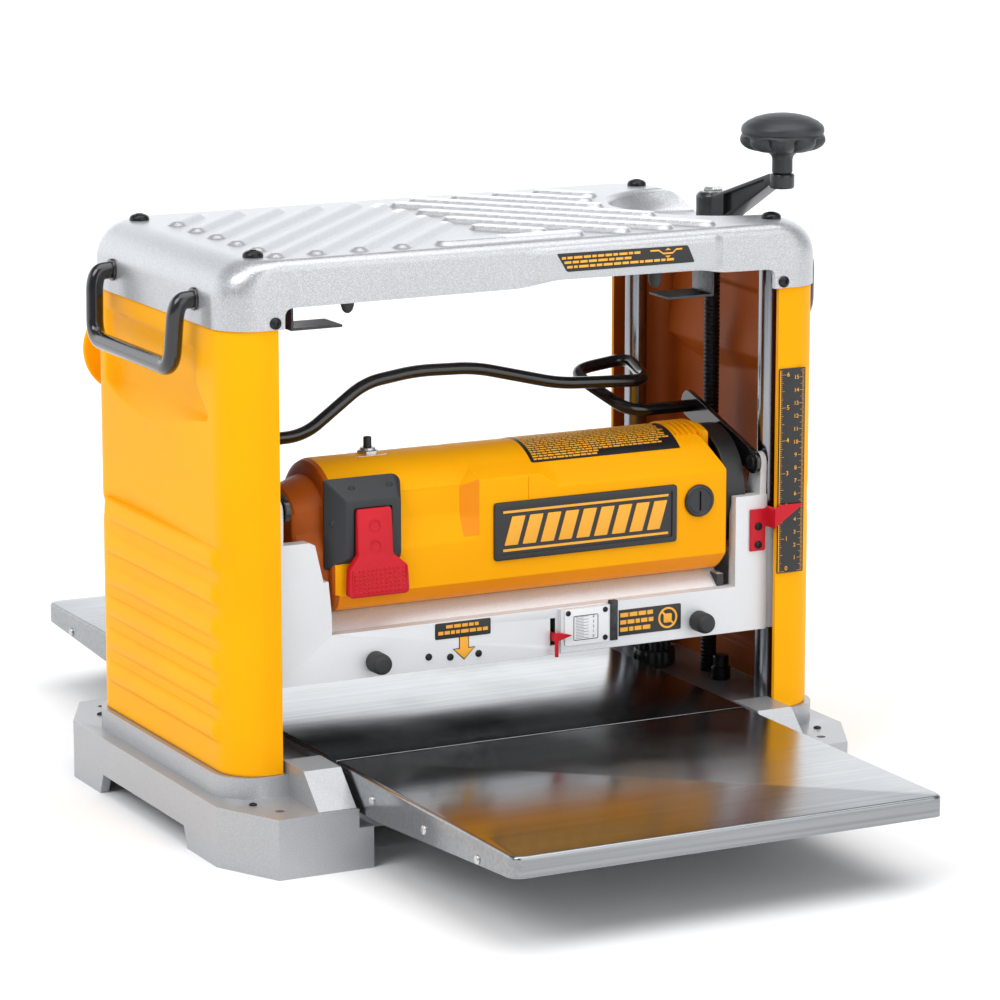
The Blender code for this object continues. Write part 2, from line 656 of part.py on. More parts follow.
# ---------------------------------------------------------------------- head
def make_head():
    """Head casting: front plate with ears, cheeks, deck, bearing walls and sleeves."""
    outline = [(-HEAD_X, HEAD_Z), (HEAD_X, HEAD_Z), (HEAD_X, EAR_TOP), (0.1775, EAR_TOP),
               (0.1775, 0.1575), (-0.1615, 0.1570), (-0.1615, 0.1710), (-0.1640, 0.1970),
               (-0.1680, 0.1970), (-0.1745, 0.2250), (-0.1790, EAR_TOP), (-HEAD_X, EAR_TOP)]
    head = prism("head_casting", outline, "y", -HEAD_Y, -HEAD_Y + PLATE_T)
    inner = -HEAD_Y + PLATE_T - 0.002
    fuse(head, box("g_rear_plate", -CHEEK_X - 0.002, CHEEK_X + 0.002, HEAD_BACK - 0.008,
                   HEAD_BACK, HEAD_Z + 0.001, 0.1950))
    for sx in (-1, 1):
        xs = sorted((sx * CHEEK_X, sx * (HEAD_X - 0.0005)))
        fuse(head, box("g_cheek", xs[0], xs[1], inner, HEAD_BACK - 0.001, HEAD_Z + 0.0005,
                       0.1755))
        xs = sorted((sx * INNER_X0, sx * INNER_X1))
        fuse(head, box("g_bearing_wall", xs[0], xs[1], inner + 0.0005, HEAD_BACK - 0.002,
                       HEAD_Z + 0.0008, DECK_TOP - 0.002))
    deck = [(inner, 0.1510), (inner, 0.1560), (-0.0980, DECK_TOP), (0.1080, DECK_TOP),
            (0.1080, DECK_TOP - 0.0040), (-0.0960, DECK_TOP - 0.0040)]
    fuse(head, prism("g_head_deck", deck, "x", -CHEEK_X - 0.001, INNER_X1 - 0.001))
    fuse(head, box("g_gauge_block", 0.0250, 0.0740, -0.1240, -0.1190, 0.1235, 0.1565))
    for sx in (-1, 1):
        xs = sorted((sx * 0.1992, sx * (HEAD_X - 0.0005)))
        lug = [(-HEAD_Y + 0.001, 0.1700)]
        lug += [(-HEAD_Y + 0.001, EAR_TOP - 0.001)]
        lug += arc(LEVER_Y + 0.0020, LEVER_Z, 0.0075, 180, 0, 6)
        lug += [(-0.0880, 0.1745), (-0.0880, 0.1700)]
        fuse(head, prism("g_lever_lug", lug, "x", xs[0], xs[1]))
        for sy in (-1, 1):
            centre = (sx * COLUMN_X, sy * COLUMN_Y, 0)
            fuse(head, rod("g_sleeve", "z", centre, SLEEVE_R, HEAD_Z + 0.0003, SLEEVE_TOP, 16))
        xs = sorted((sx * (HEAD_X - 0.003), sx * LEAD_X))
        fuse(head, box("g_nut_arm", xs[0], xs[1], -0.0080, 0.0080, HEAD_Z + 0.0002, 0.1520))
        fuse(head, rod("g_nut", "z", (sx * LEAD_X, 0, 0), NUT_R, HEAD_Z + 0.0004, 0.1530, 16))
    for sx in (-1, 1):
        for sy in (-1, 1):
            cut(head, rod("g_sleeve_bore", "z", (sx * COLUMN_X, sy * COLUMN_Y, 0),
                          COLUMN_R + RUN, 0.10, 0.30, 20))
            ends = sorted((sx * 0.160, sx * 0.1760))
            cut(head, rod("g_roller_bore", "x", (0, sy * ROLL_Y, ROLL_Z),
                          ROLL_SHAFT_R + RUN, ends[0], ends[1], 16))
        cut(head, rod("g_nut_bore", "z", (sx * LEAD_X, 0, 0), LEAD_R + RUN, 0.10, 0.20, 16))
        ends = sorted((sx * 0.160, sx * 0.1760))
        cut(head, rod("g_cutter_bore", "x", (0, 0, CUT_Z), CUT_SHAFT_R + RUN,
                      ends[0], ends[1], 20))
        ends = sorted((sx * 0.1950, sx * 0.2100))
        cut(head, rod("g_lever_bore", "x", (0, LEVER_Y, LEVER_Z), LEVER_PIN_R + RUN,
                      ends[0], ends[1], 16))
    cut(head, box("g_turret_room", CHEEK_X - 0.001, HEAD_X + 0.001, TURRET_Y - 0.0200,
                  TURRET_Y + 0.0200, HEAD_Z - 0.01, 0.1480))
    cut(head, prism("g_guard_clear", two_circles((0.0, CUT_Z), 0.0222, (MOTOR_Y, MOTOR_Z),
                                                 0.0468, 10), "x", INNER_X1 + 0.0003,
                    CHEEK_X - 0.0002))
    cut(head, box("g_gauge_slot", 0.0180, 0.0222, -0.1300, -0.1000, 0.1290, 0.1500))
    return dress(head, SILVER, 0.45, 0.7)


def make_cutting():
    """Cutterhead with three knives, the two feed rollers and their gear case."""
    profile = [(0, -CUT_HALF - 0.0100), (CUT_SHAFT_R, -CUT_HALF - 0.0100),
               (CUT_SHAFT_R, -CUT_HALF), (CUT_BODY_R, -CUT_HALF), (CUT_BODY_R, CUT_HALF),
               (CUT_SHAFT_R, CUT_HALF), (CUT_SHAFT_R, PULLEY_X0 - GAP), (0, PULLEY_X0 - GAP)]
    head = turned("cutterhead", profile, "x", (0, 0, CUT_Z), 30)
    for number in range(3):
        turn = math.radians(120 * number + 30)
        across = Vector((0, math.cos(turn), math.sin(turn)))
        aside = Vector((0, -math.sin(turn), math.cos(turn)))
        shape = []
        for out, off in ((CUT_BODY_R - 0.005, -0.0011), (CUT_R - 0.0002, -0.0011),
                         (CUT_R - 0.0014, 0.0011), (CUT_BODY_R - 0.005, 0.0011)):
            place = across * out + aside * off
            shape.append((place.y, CUT_Z + place.z))
        fuse(head, prism(f"g_knife_{number}", shape, "x", -CUT_HALF + 0.003,
                         CUT_HALF - 0.003))
    dress(head, STEEL, 0.3, 1.0)
    pivot(head, (0, 0, CUT_Z))
    for name, sy in (("infeed_roller", -1), ("outfeed_roller", 1)):
        profile = [(0, -0.1735), (ROLL_SHAFT_R, -0.1735), (ROLL_SHAFT_R, -CUT_HALF),
                   (ROLL_R, -CUT_HALF), (ROLL_R, CUT_HALF), (ROLL_SHAFT_R, CUT_HALF),
                   (ROLL_SHAFT_R, 0.1735), (0, 0.1735)]
        roller = turned(name, profile, "x", (0, sy * ROLL_Y, ROLL_Z), 24)
        dress(roller, RUBBER, 0.75, 0.0)
        pivot(roller, (0, sy * ROLL_Y, ROLL_Z))
    case = prism("feed_gear_case", rounded_rect(0.0760, 0.0190, 0.0120, 4), "x",
                 -CHEEK_X + 0.0006, -0.1742)
    case.data.transform(Matrix.Translation((0, 0, 0.1435)))
    dress(case, BLACK, 0.5, 0.2)


def make_pulleys():
    cutter = (0.0, CUT_Z)
    motor = (MOTOR_Y, MOTOR_Z)
    for name, (y, z), r in (("cutter_pulley", cutter, CUT_PULLEY_R),
                            ("motor_pulley", motor, MOTOR_PULLEY_R)):
        mid = (PULLEY_X0 + PULLEY_X1) / 2
        wheel = turned(name, [(0, PULLEY_X0), (r, PULLEY_X0), (r, PULLEY_X0 + 0.0004),
                              (r - 0.0004, mid), (r, PULLEY_X1 - 0.0004), (r, PULLEY_X1),
                              (0, PULLEY_X1)], "x", (0, y, z), 24)
        dress(wheel, STEEL, 0.35, 1.0)
        pivot(wheel, (0, y, z))
    room = 0.0004
    belt = prism("drive_belt", two_circles(cutter, CUT_PULLEY_R + room + BELT_T, motor,
                                           MOTOR_PULLEY_R + room + BELT_T), "x",
                 PULLEY_X0 + 0.001, PULLEY_X1 - 0.001)
    cut(belt, prism("g_belt_room", two_circles(cutter, CUT_PULLEY_R + room, motor,
                                               MOTOR_PULLEY_R + room), "x", 0.17, 0.19))
    dress(belt, RUBBER, 0.7, 0.0)
    guard = prism("belt_guard", two_circles(cutter, 0.0214, motor, 0.0460, 20), "x",
                  COVER_IN_X, COVER_OUT_X)
    cut(guard, prism("g_guard_room", two_circles(cutter, 0.0192, motor, 0.0436, 20), "x",
                     COVER_IN_X - 0.01, COVER_OUT_X - 0.0030))
    dress(guard, BLACK, 0.35, 0.0)


def housing_section(front, back, low, radius, grow):
    """Side view of the motor housing: flat front, domed top, flat back."""
    points = [(front + 0.0080 + grow * 0.5, low + grow), (front + grow, low + 0.0130 + grow)]
    points += arc(MOTOR_Y, MOTOR_Z, radius - grow, 165, 15, 14)
    points += [(back - grow, MOTOR_Z), (back - grow, low + 0.0080 + grow),
               (back - 0.0080 - grow * 0.5, low + grow)]
    return points


def make_motor():
    """Yellow housing, open at its right end, with the armature inside it."""
    front = MOTOR_Y - MOTOR_R
    housing = prism("motor_housing", housing_section(front, MOTOR_BACK, MOTOR_LOW, MOTOR_R, 0),
                    "x", BLOCK_X0, MOTOR_X1)
    fuse(housing, prism("g_housing_left",
                        housing_section(front + 0.0040, MOTOR_BACK, MOTOR_LOW,
                                        MOTOR_R - 0.0008, 0),
                        "x", MOTOR_X0, BLOCK_X0 + 0.002))
    fuse(housing, prism("g_housing_bell",
                        housing_section(front + 0.0095, MOTOR_BACK - 0.005, MOTOR_LOW + 0.004,
                                        MOTOR_R - 0.0070, 0),
                        "x", MOTOR_X0 - 0.0240, MOTOR_X0 + 0.002))
    cut(housing, prism("g_housing_room",
                       housing_section(front + 0.0040, MOTOR_BACK, MOTOR_LOW, MOTOR_R - 0.0008,
                                       MOTOR_WALL), "x", MOTOR_X0 + 0.004, MOTOR_X1 + 0.01))
    dress(housing, YELLOW, 0.32, 0.0)
    core = turned("motor_armature",
                  [(0, -0.1500), (0.0060, -0.1500), (0.0060, -0.1250), (0.0180, -0.1250),
                   (0.0180, -0.0950), (0.0060, -0.0950), (0.0060, -0.0850),
                   (0.0310, -0.0850), (0.0310, 0.1050), (0.0060, 0.1050),
                   (0.0060, PULLEY_X0 - GAP), (0, PULLEY_X0 - GAP)],
                  "x", (0, MOTOR_Y, MOTOR_Z), 24)
    dress(core, (0.45, 0.25, 0.12), 0.4, 0.8)
    pivot(core, (0, MOTOR_Y, MOTOR_Z))
    badge = box("motor_badge", -0.0275, 0.1275, front - GAP - 0.0020, front - GAP,
                0.1975, 0.2415)
    dress(badge, BLACK, 0.35, 0.0)
    cap = turned("brush_cap", [(0, front - GAP), (0.0120, front - GAP),
                               (0.0120, front - 0.0024), (0.0108, front - 0.0032),
                               (0, front - 0.0036)], "y", (0.1472, 0, 0.2270), 24)
    dress(cap, BLACK, 0.35, 0.0)
    gland = turned("cable_gland", [(0, MOTOR_BACK + GAP), (0.0090, MOTOR_BACK + GAP),
                                   (0.0090, MOTOR_BACK + 0.0060), (0.0060, MOTOR_BACK + 0.0080),
                                   (0.0048, MOTOR_BACK + 0.0240), (0, MOTOR_BACK + 0.0240)],
                   "y", (-0.1200, 0, 0.2050), 16)
    dress(gland, RUBBER, 0.6, 0.0)


def make_switch():
    """Switch bezel with its hinged paddle, and the breaker button on the housing."""
    front = MOTOR_Y - MOTOR_R
    shape = [(front + 0.0200, 0.2000), (front - 0.0020, 0.2000), (front - 0.0055, 0.2040),
             (front - 0.0055, 0.2560), (front + 0.0080, 0.2730), (front + 0.0200, 0.2730)]
    bezel = prism("switch_bezel", shape, "x", -0.1620, -0.1065)
    cut(bezel, prism("g_bezel_seat",
                     housing_section(front + 0.0040, MOTOR_BACK, MOTOR_LOW, MOTOR_R - 0.0008,
                                     -GAP), "x", -0.1700, -0.1000))
    dress(bezel, (0.03, 0.033, 0.035), 0.45, 0.0)
    face = front - 0.0055 - GAP
    outline = [(-0.1465, 0.2500), (-0.1455, 0.2520), (-0.1190, 0.2520), (-0.1180, 0.2500),
               (-0.1180, 0.2130), (-0.1045, 0.2030), (-0.1040, 0.1835), (-0.1060, 0.1812),
               (-0.1510, 0.1812), (-0.1530, 0.1835), (-0.1530, 0.2030), (-0.1465, 0.2130)]
    paddle = prism("switch_paddle", outline, "y", -0.1360, face)
    side = [(face + 0.01, 0.1700), (face + 0.01, 0.2600), (face - 0.0028, 0.2600),
            (face - 0.0050, 0.2100), (face - 0.0095, 0.1850), (face - 0.0085, 0.1700)]
    keep(paddle, prism("g_paddle_side", side, "x", -0.17, -0.09))
    dress(paddle, RED, 0.4, 0.0)
    pivot(paddle, (-0.1322, face, 0.2515))
    top = MOTOR_Z + MOTOR_R - 0.0008
    nut = turned("breaker_collar",
                 [(0.0034, top + GAP), (0.0085, top + GAP), (0.0085, top + 0.0012),
                  (0.0058, top + 0.0012), (0.0058, top + 0.0052), (0.0034, top + 0.0052)],
                 "z", (-0.1065, MOTOR_Y + 0.0010, 0), 18)
    dress(nut, STEEL, 0.35, 1.0)
    button = turned("breaker_button", [(0, top + 0.0045), (0.0031, top + 0.0045),
                                       (0.0031, top + 0.0125), (0.0026, top + 0.0132),
                                       (0, top + 0.0132)],
                    "z", (-0.1065, MOTOR_Y + 0.0010, 0), 14)
    dress(button, BLACK, 0.45, 0.0)
    pivot(button, (-0.1065, MOTOR_Y + 0.0010, top))


def make_head_small():
    scale = box("gauge_scale", 0.0278, 0.0650, -0.1252, -0.1243, 0.1285, 0.1560)
    dress(scale, WHITE, 0.4, 0.0)
    stem = prism("gauge_pointer", [(0.0188, 0.1215), (0.0214, 0.1215), (0.0214, 0.1340),
                                   (0.0225, 0.1340), (0.0320, 0.1370), (0.0225, 0.1400),
                                   (0.0188, 0.1400)], "y", -0.1275, -0.1256)
    fuse(stem, box("g_gauge_foot", 0.0188, 0.0214, -0.1260, -0.1030, 0.1330, 0.1390))
    dress(stem, RED, 0.4, 0.0)
    pivot(stem, (0.0201, -0.1230, 0.1220))
    for name, x, z, sy in (("bumper_front_left", -0.1269, 0.1336, -1),
                           ("bumper_front_right", 0.1452, 0.1347, -1),
                           ("bumper_rear_left", -0.1269, 0.1500, 1),
                           ("bumper_rear_right", 0.1452, 0.1500, 1)):
        face = HEAD_Y if sy < 0 else HEAD_BACK
        pad = turned(name, [(0, sy * (face + GAP)), (0.0080, sy * (face + GAP)),
                            (0.0080, sy * (face + 0.0120)), (0.0068, sy * (face + 0.0150)),
                            (0, sy * (face + 0.0160))], "y", (x, 0, z), 18)
        dress(pad, RUBBER, 0.7, 0.0)
    y0, y1 = -HEAD_Y - 0.0018, -HEAD_Y - GAP
    y2 = -PANEL_Y - 0.0024
    strip = [(0.1890, y1), (0.2050, y1), (0.2050, y2), (0.2300, y2), (0.2300, y2 - 0.0013),
             (0.2035, y2 - 0.0013), (0.2035, y0), (0.1890, y0)]
    pointer = prism("head_pointer", strip, "z", 0.1800, 0.2250)
    shape = [(0.1895, 0.1840), (0.2020, 0.1840), (0.2028, 0.1850), (0.2028, 0.2020),
             (0.2060, 0.2050), (0.2292, 0.2206), (0.2080, 0.2210), (0.2020, 0.2165),
             (0.1895, 0.2165)]
    keep(pointer, prism("g_pointer_shape", shape, "y", -0.15, -0.10))
    dress(pointer, RED, 0.4, 0.0)
    hood = prism("chip_hood", [(HEAD_BACK + GAP, 0.1640), (HEAD_BACK + 0.0220, 0.1640),
                               (HEAD_BACK + 0.0250, 0.1680), (HEAD_BACK + 0.0200, 0.1880),
                               (HEAD_BACK + 0.0080, 0.1940), (HEAD_BACK + GAP, 0.1940)],
                 "x", -0.1620, 0.1620)
    cut(hood, prism("g_hood_room", [(HEAD_BACK - 0.001, 0.1600), (HEAD_BACK + 0.0195, 0.1600),
                                    (HEAD_BACK + 0.0222, 0.1690),
                                    (HEAD_BACK + 0.0176, 0.1862),
                                    (HEAD_BACK + 0.0070, 0.1915), (HEAD_BACK - 0.001, 0.1915)],
                    "x", -0.1595, 0.1595))
    dress(hood, BLACK, 0.4, 0.0)


# ------------------------------------------------------------------ lock bar
def make_lock_bar():
    """Bent bar on two flat arms that turn on pins in the ears of the head."""
    ends_x = 0.1940
    corners = [(-ends_x, -0.0140, 0.2830), (-0.1330, -0.0120, 0.2840),
               (-0.0800, -0.0060, 0.3185), (-0.0350, -0.0020, 0.3235),
               (0.0160, 0.0000, 0.3215), (0.0860, -0.0060, 0.3045),
               (0.1620, -0.0080, 0.3010), (0.1720, 0.0420, 0.3100),
               (0.1270, 0.0400, 0.3050), (0.1200, 0.0260, 0.3010),
               (0.1430, -0.0140, 0.2790), (ends_x, -0.0140, 0.2790)]
    bar = tube("lock_bar", bent_path(corners, 0.0110, 3), BAR_R, 8)
    dress(bar, BLACK, 0.25, 0.3)
    pivot(bar, (0, LEVER_Y, LEVER_Z))
    for sx, side in ((-1, "left"), (1, "right")):
        xs = sorted((sx * (ends_x + GAP), sx * (ends_x + 0.0042)))
        outline = two_circles((LEVER_Y, LEVER_Z), 0.0090, (-0.0150, 0.2810), 0.0105, 8)
        arm = prism(f"lock_arm_{side}", outline, "x", xs[0], xs[1])
        ends = sorted((sx * (ends_x + 0.0030), sx * 0.2070))
        fuse(arm, rod("g_lever_pin", "x", (0, LEVER_Y, LEVER_Z), LEVER_PIN_R,
                      ends[0], ends[1], 16))
        dress(arm, BLACK, 0.3, 0.3)
        pivot(arm, (0, LEVER_Y, LEVER_Z))


make_base()
make_bed()
make_table("infeed_table", -1)
make_table("outfeed_table", 1)
make_panel("side_panel_left", -1)
make_panel("side_panel_right", 1)
make_cover()
make_frame_small()
make_turret()
make_drive_below()
make_crank()
make_head()
make_cutting()
make_pulleys()
make_motor()
make_switch()
make_head_small()
make_lock_bar()
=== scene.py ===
import math

import bmesh
import bpy
import numpy as np
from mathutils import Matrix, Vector


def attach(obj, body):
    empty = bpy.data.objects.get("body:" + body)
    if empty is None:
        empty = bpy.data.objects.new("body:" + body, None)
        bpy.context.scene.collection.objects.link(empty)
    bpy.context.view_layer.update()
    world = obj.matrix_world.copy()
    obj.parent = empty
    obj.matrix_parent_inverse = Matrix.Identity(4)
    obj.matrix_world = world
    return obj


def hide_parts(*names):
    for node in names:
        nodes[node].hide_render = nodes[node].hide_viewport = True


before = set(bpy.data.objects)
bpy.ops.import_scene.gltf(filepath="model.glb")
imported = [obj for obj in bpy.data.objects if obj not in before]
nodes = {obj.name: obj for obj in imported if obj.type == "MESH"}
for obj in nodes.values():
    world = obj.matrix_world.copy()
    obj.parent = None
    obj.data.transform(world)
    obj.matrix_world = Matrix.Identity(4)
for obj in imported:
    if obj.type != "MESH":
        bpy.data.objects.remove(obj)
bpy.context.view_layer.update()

TAU = 2 * math.pi
SEAT = 0.0002            # how far a label or screw head sinks into what it sits on


# ------------------------------------------------------------ surface tools
def unit(v):
    """Each row divided by its length."""
    return v / np.maximum(np.linalg.norm(v, axis=-1, keepdims=True), 1e-12)


def ease(x):
    """0 below 0, 1 above 1, and 3x^2 - 2x^3 between."""
    x = np.clip(x, 0, 1)
    return x * x * (3 - 2 * x)


def bends(corners, radius, steps=8, closed=False):
    """Straight runs joined by curves: round corner C, from A to B at the bend radius
    either side, the path is (1-t)^2 A + 2t(1-t) C + t^2 B."""
    c = np.asarray(corners, float)
    before, here, after = (np.roll(c, 1, 0), c, np.roll(c, -1, 0)) if closed else (
        c[:-2], c[1:-1], c[2:])
    r = np.broadcast_to(np.asarray(radius, float), (len(c),))
    r = (r if closed else r[1:-1])[:, None]
    back, on = before - here, after - here
    reach_a = np.minimum(r, 0.48 * np.linalg.norm(back, axis=1, keepdims=True))
    reach_b = np.minimum(r, 0.48 * np.linalg.norm(on, axis=1, keepdims=True))
    a = (here + unit(back) * reach_a)[:, None]
    b = (here + unit(on) * reach_b)[:, None]
    t = np.linspace(0, 1, steps)[None, :, None]
    path = ((1 - t) ** 2 * a + 2 * t * (1 - t) * here[:, None] + t ** 2 * b)
    path = path.reshape(-1, c.shape[1])
    return path if closed else np.vstack([c[:1], path, c[-1:]])


def rounded_box(half_x, half_y, radius, steps=8):
    """Outline of a rectangle whose corners are quarter circles of the radius."""
    a = np.linspace(0, math.pi / 2, steps)
    quarter = np.stack([np.cos(a), np.sin(a)], 1) * radius
    parts = []
    for turn, sx, sy in ((0, 1, 1), (1, -1, 1), (2, -1, -1), (3, 1, -1)):
        c, s = math.cos(turn * math.pi / 2), math.sin(turn * math.pi / 2)
        parts.append(quarter @ np.array([[c, s], [-s, c]]) + [sx * (half_x - radius), sy *
            (half_y - radius)])
    return np.vstack(parts)


def round_rect(x0, x1, z0, z1, radius, steps=4):
    """Rectangle with its corners bent round."""
    return bends([(x0, z0), (x1, z0), (x1, z1), (x0, z1)], radius, steps, closed=True)


def drawn_in(outline, distance):
    """Closed outline moved inwards: each corner moves along the mean normal of its two
    sides, by the distance over the cosine of half the turn."""
    ahead = unit(np.roll(outline, -1, 0) - outline)
    behind = np.roll(ahead, 1, 0)
    area = np.sum(outline[:, 0] * np.roll(outline[:, 1], -1) - np.roll(outline[:, 0], -1) *
        outline[:, 1])
    sign = 1 if area > 0 else -1
    turn = unit(ahead + behind)
    inward = np.stack([-turn[:, 1], turn[:, 0]], 1) * sign
    cosine = np.maximum(np.sum(turn * ahead, 1, keepdims=True), 0.5)
    return outline + inward * distance / cosine


AXES = {"x": (1, 2, 0), "y": (0, 2, 1), "z": (0, 1, 2)}


def placed(flat, level, axis):
    """Points (a, b) of a plane square to the axis, at a level along it."""
    level = np.broadcast_to(np.asarray(level, float), flat.shape[:-1])
    point = np.zeros(flat.shape[:-1] + (3,))
    first, second, third = AXES[axis]
    point[..., first], point[..., second], point[..., third] = flat[..., 0], flat[..., 1], level
    return point


def as_mesh(name, points, faces, angle=35):
    """A closed piece from points and faces."""
    mesh = bpy.data.meshes.new(name)
    mesh.from_pydata(points.reshape(-1, 3).tolist(), [], faces)
    return tidied(name, mesh, angle)


def linked(name, data):
    """A new object in the scene."""
    piece = bpy.data.objects.new(name, data)
    bpy.context.scene.collection.objects.link(piece)
    return piece


def tidied(name, mesh, angle):
    """Merges doubles, turns the faces outwards and shades smooth below the angle."""
    bm = bmesh.new()
    bm.from_mesh(mesh)
    bmesh.ops.remove_doubles(bm, verts=bm.verts, dist=1e-6)
    bmesh.ops.recalc_face_normals(bm, faces=bm.faces)
    bm.to_mesh(mesh)
    bm.free()
    mesh.shade_smooth()
    mesh.set_sharp_from_angle(angle=math.radians(angle))
    return linked(name, mesh)


def skin(name, grid, around=True, caps=True, angle=35):
    """Quads over a grid of points P(u, v); v closes on itself when around is true, and the
    first and last rows are capped."""
    rows, cols = grid.shape[:2]
    index = np.arange(rows * cols).reshape(rows, cols)
    left, right = (index, np.roll(index, -1, 1)) if around else (index[:, :-1], index[:, 1:])
    faces = np.stack([left[:-1], left[1:], right[1:], right[:-1]], -1).reshape(-1, 4).tolist()
    if caps:
        faces += [index[0].tolist(), index[-1][::-1].tolist()]
    return as_mesh(name, grid, faces, angle)


def plate(name, outline, low, high, axis, edge=0.0006, steps=4, angle=35):
    """Flat piece: its outline goes from one face to the other, drawn in by e(1 - sin a) and
    set back by e(1 - cos a) round both rims, with a from 0 to a quarter turn."""
    outline = np.asarray(outline, float)
    a = np.linspace(0, math.pi / 2, steps)
    inset = edge * (1 - np.sin(a))
    level = edge * (1 - np.cos(a))
    inset = np.concatenate([inset, inset[::-1]])
    level = np.concatenate([low + level, high - level[::-1]])
    grid = np.stack([placed(drawn_in(outline, d), h, axis) for d, h in zip(inset, level)])
    return skin(name, grid, angle=angle)


def lathe(name, profile, centre, axis, count=48, lobes=None, angle=35):
    """Profile (r, h) turned about an axis: P = centre + r (cos a, sin a) + h along it. With
    lobes, r is scaled by lobes(a, h)."""
    profile = np.asarray(profile, float)
    a = np.arange(count) / count * TAU
    r = profile[:, None, 0] * (lobes(a[None], profile[:, None, 1]) if lobes else 1.0)
    r = np.broadcast_to(r, (len(profile), count))
    flat = np.stack([r * np.cos(a), r * np.sin(a)], -1)
    grid = placed(flat, np.broadcast_to(profile[:, 1:2], r.shape), axis) + np.asarray(centre)
    return skin(name, grid, angle=angle)


def bar_ends(radius, low, high):
    """Profile of a plain round bar."""
    return [(0, low), (radius, low), (radius, high), (0, high)]


def turned(name, profile, centre, axis, soft=0.0005, count=40, angle=35):
    """A lathe piece whose profile's corners are softened."""
    return lathe(name, bends(profile, soft, 4), centre, axis, count, angle=angle)


def carve(piece, cutters, how="DIFFERENCE", angle=35):
    """The piece with the cutters taken away, as a new mesh."""
    group = bpy.data.collections.new(piece.name + "_cutters")
    for cutter in cutters:
        group.objects.link(cutter)
        bpy.context.scene.collection.objects.unlink(cutter)
    bpy.context.scene.collection.children.link(group)
    step = piece.modifiers.new("carve", "BOOLEAN")
    step.operand_type, step.collection = "COLLECTION", group
    step.operation, step.solver = how, "EXACT"
    bpy.context.view_layer.update()
    mesh = bpy.data.meshes.new_from_object(
        piece.evaluated_get(bpy.context.evaluated_depsgraph_get()))
    name = piece.name
    bpy.data.objects.remove(piece)
    for cutter in list(cutters):
        bpy.data.objects.remove(cutter)
    bpy.data.collections.remove(group)
    return tidied(name, mesh, angle)


def softened(piece, width, segments=2, angle=34):
    """Rounds the sharp edges of a piece."""
    step = piece.modifiers.new("soft_edges", "BEVEL")
    step.width, step.segments, step.limit_method = width, segments, "ANGLE"
    step.angle_limit, step.harden_normals = math.radians(angle), True
    step.miter_outer = "MITER_ARC"
    return piece


def from_frame(node, width, segments=2, angle=34):
    """Merged copy of a frame piece with its flat faces joined and its edges rounded."""
    mesh = nodes[node].data.copy()
    mesh.materials.clear()
    bm = bmesh.new()
    bm.from_mesh(mesh)
    bmesh.ops.remove_doubles(bm, verts=bm.verts, dist=2e-6)
    bmesh.ops.dissolve_limit(bm, angle_limit=math.radians(0.6), verts=bm.verts, edges=bm.edges)
    bm.to_mesh(mesh)
    bm.free()
    mesh.shade_smooth()
    mesh.set_sharp_from_angle(angle=math.radians(30))
    return softened(linked(node + "_shape", mesh), width, segments, angle)


def fit(piece, finish, body, slot, *stands_for):
    """Gives a piece its finish, the body it rides on, and the frame pieces it stands for."""
    piece.data.materials.clear()
    piece.data.materials.append(finish)
    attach(piece, body)
    if stands_for:
        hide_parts(*stands_for)
    return piece


def keep(node, finish, body, *rounding):
    """A frame piece shown as a softened copy of itself."""
    return fit(from_frame(node, *rounding), finish, body, node, node)


def tinted(piece, finish, where):
    """Gives a second finish to the faces whose middle and normal the rule picks."""
    mesh = piece.data
    mesh.materials.append(finish)
    centre = np.empty(len(mesh.polygons) * 3)
    normal = np.empty(len(mesh.polygons) * 3)
    mesh.polygons.foreach_get("center", centre)
    mesh.polygons.foreach_get("normal", normal)
    pick = where(centre.reshape(-1, 3), normal.reshape(-1, 3))
    mesh.polygons.foreach_set("material_index", pick.astype(np.int32))
    return piece


# ---------------------------------------------------------- shader groups
class Web:
    """Short hand for building a node tree."""

    def __init__(self, tree):
        self.tree = tree

    def add(self, kind, **values):
        node = self.tree.nodes.new(kind)
        for key, value in values.items():
            setattr(node, key, value)
        return node

    def join(self, out, into):
        self.tree.links.new(out, into)

    def math(self, operation, first, second=None):
        node = self.add("ShaderNodeMath", operation=operation)
        for socket, value in zip(node.inputs, (first, second)):
            if value is None:
                continue
            if isinstance(value, (int, float)):
                socket.default_value = value
            else:
                self.join(value, socket)
        return node.outputs[0]

    def spread(self, value, low, high, to_low=0.0, to_high=1.0):
        node = self.add("ShaderNodeMapRange", interpolation_type="SMOOTHSTEP")
        self.join(value, node.inputs["Value"])
        for label, number in (("From Min", low), ("From Max", high), ("To Min", to_low),
                ("To Max", to_high)):
            node.inputs[label].default_value = number
        return node.outputs["Result"]

    def noise(self, vector, scale, detail=2.0, roughness=0.5):
        node = self.add("ShaderNodeTexNoise")
        self.join(vector, node.inputs["Vector"])
        if isinstance(scale, (int, float)):
            node.inputs["Scale"].default_value = scale
        else:
            self.join(scale, node.inputs["Scale"])
        node.inputs["Detail"].default_value = detail
        node.inputs["Roughness"].default_value = roughness
        return node.outputs["Fac"]


def shader_group(name, takes, gives):
    """An empty group with named sockets, as (web, inputs, output node)."""
    tree = bpy.data.node_groups.new(name, "ShaderNodeTree")
    for label, value in takes:
        many = value is None or isinstance(value, tuple)
        kind = "NodeSocketVector" if many else "NodeSocketFloat"
        socket = tree.interface.new_socket(label, in_out="INPUT", socket_type=kind)
        if value is not None:
            socket.default_value = value
    for label in gives:
        tree.interface.new_socket(label, in_out="OUTPUT", socket_type="NodeSocketFloat")
    web = Web(tree)
    return web, web.add("NodeGroupInput").outputs, web.add("NodeGroupOutput").inputs


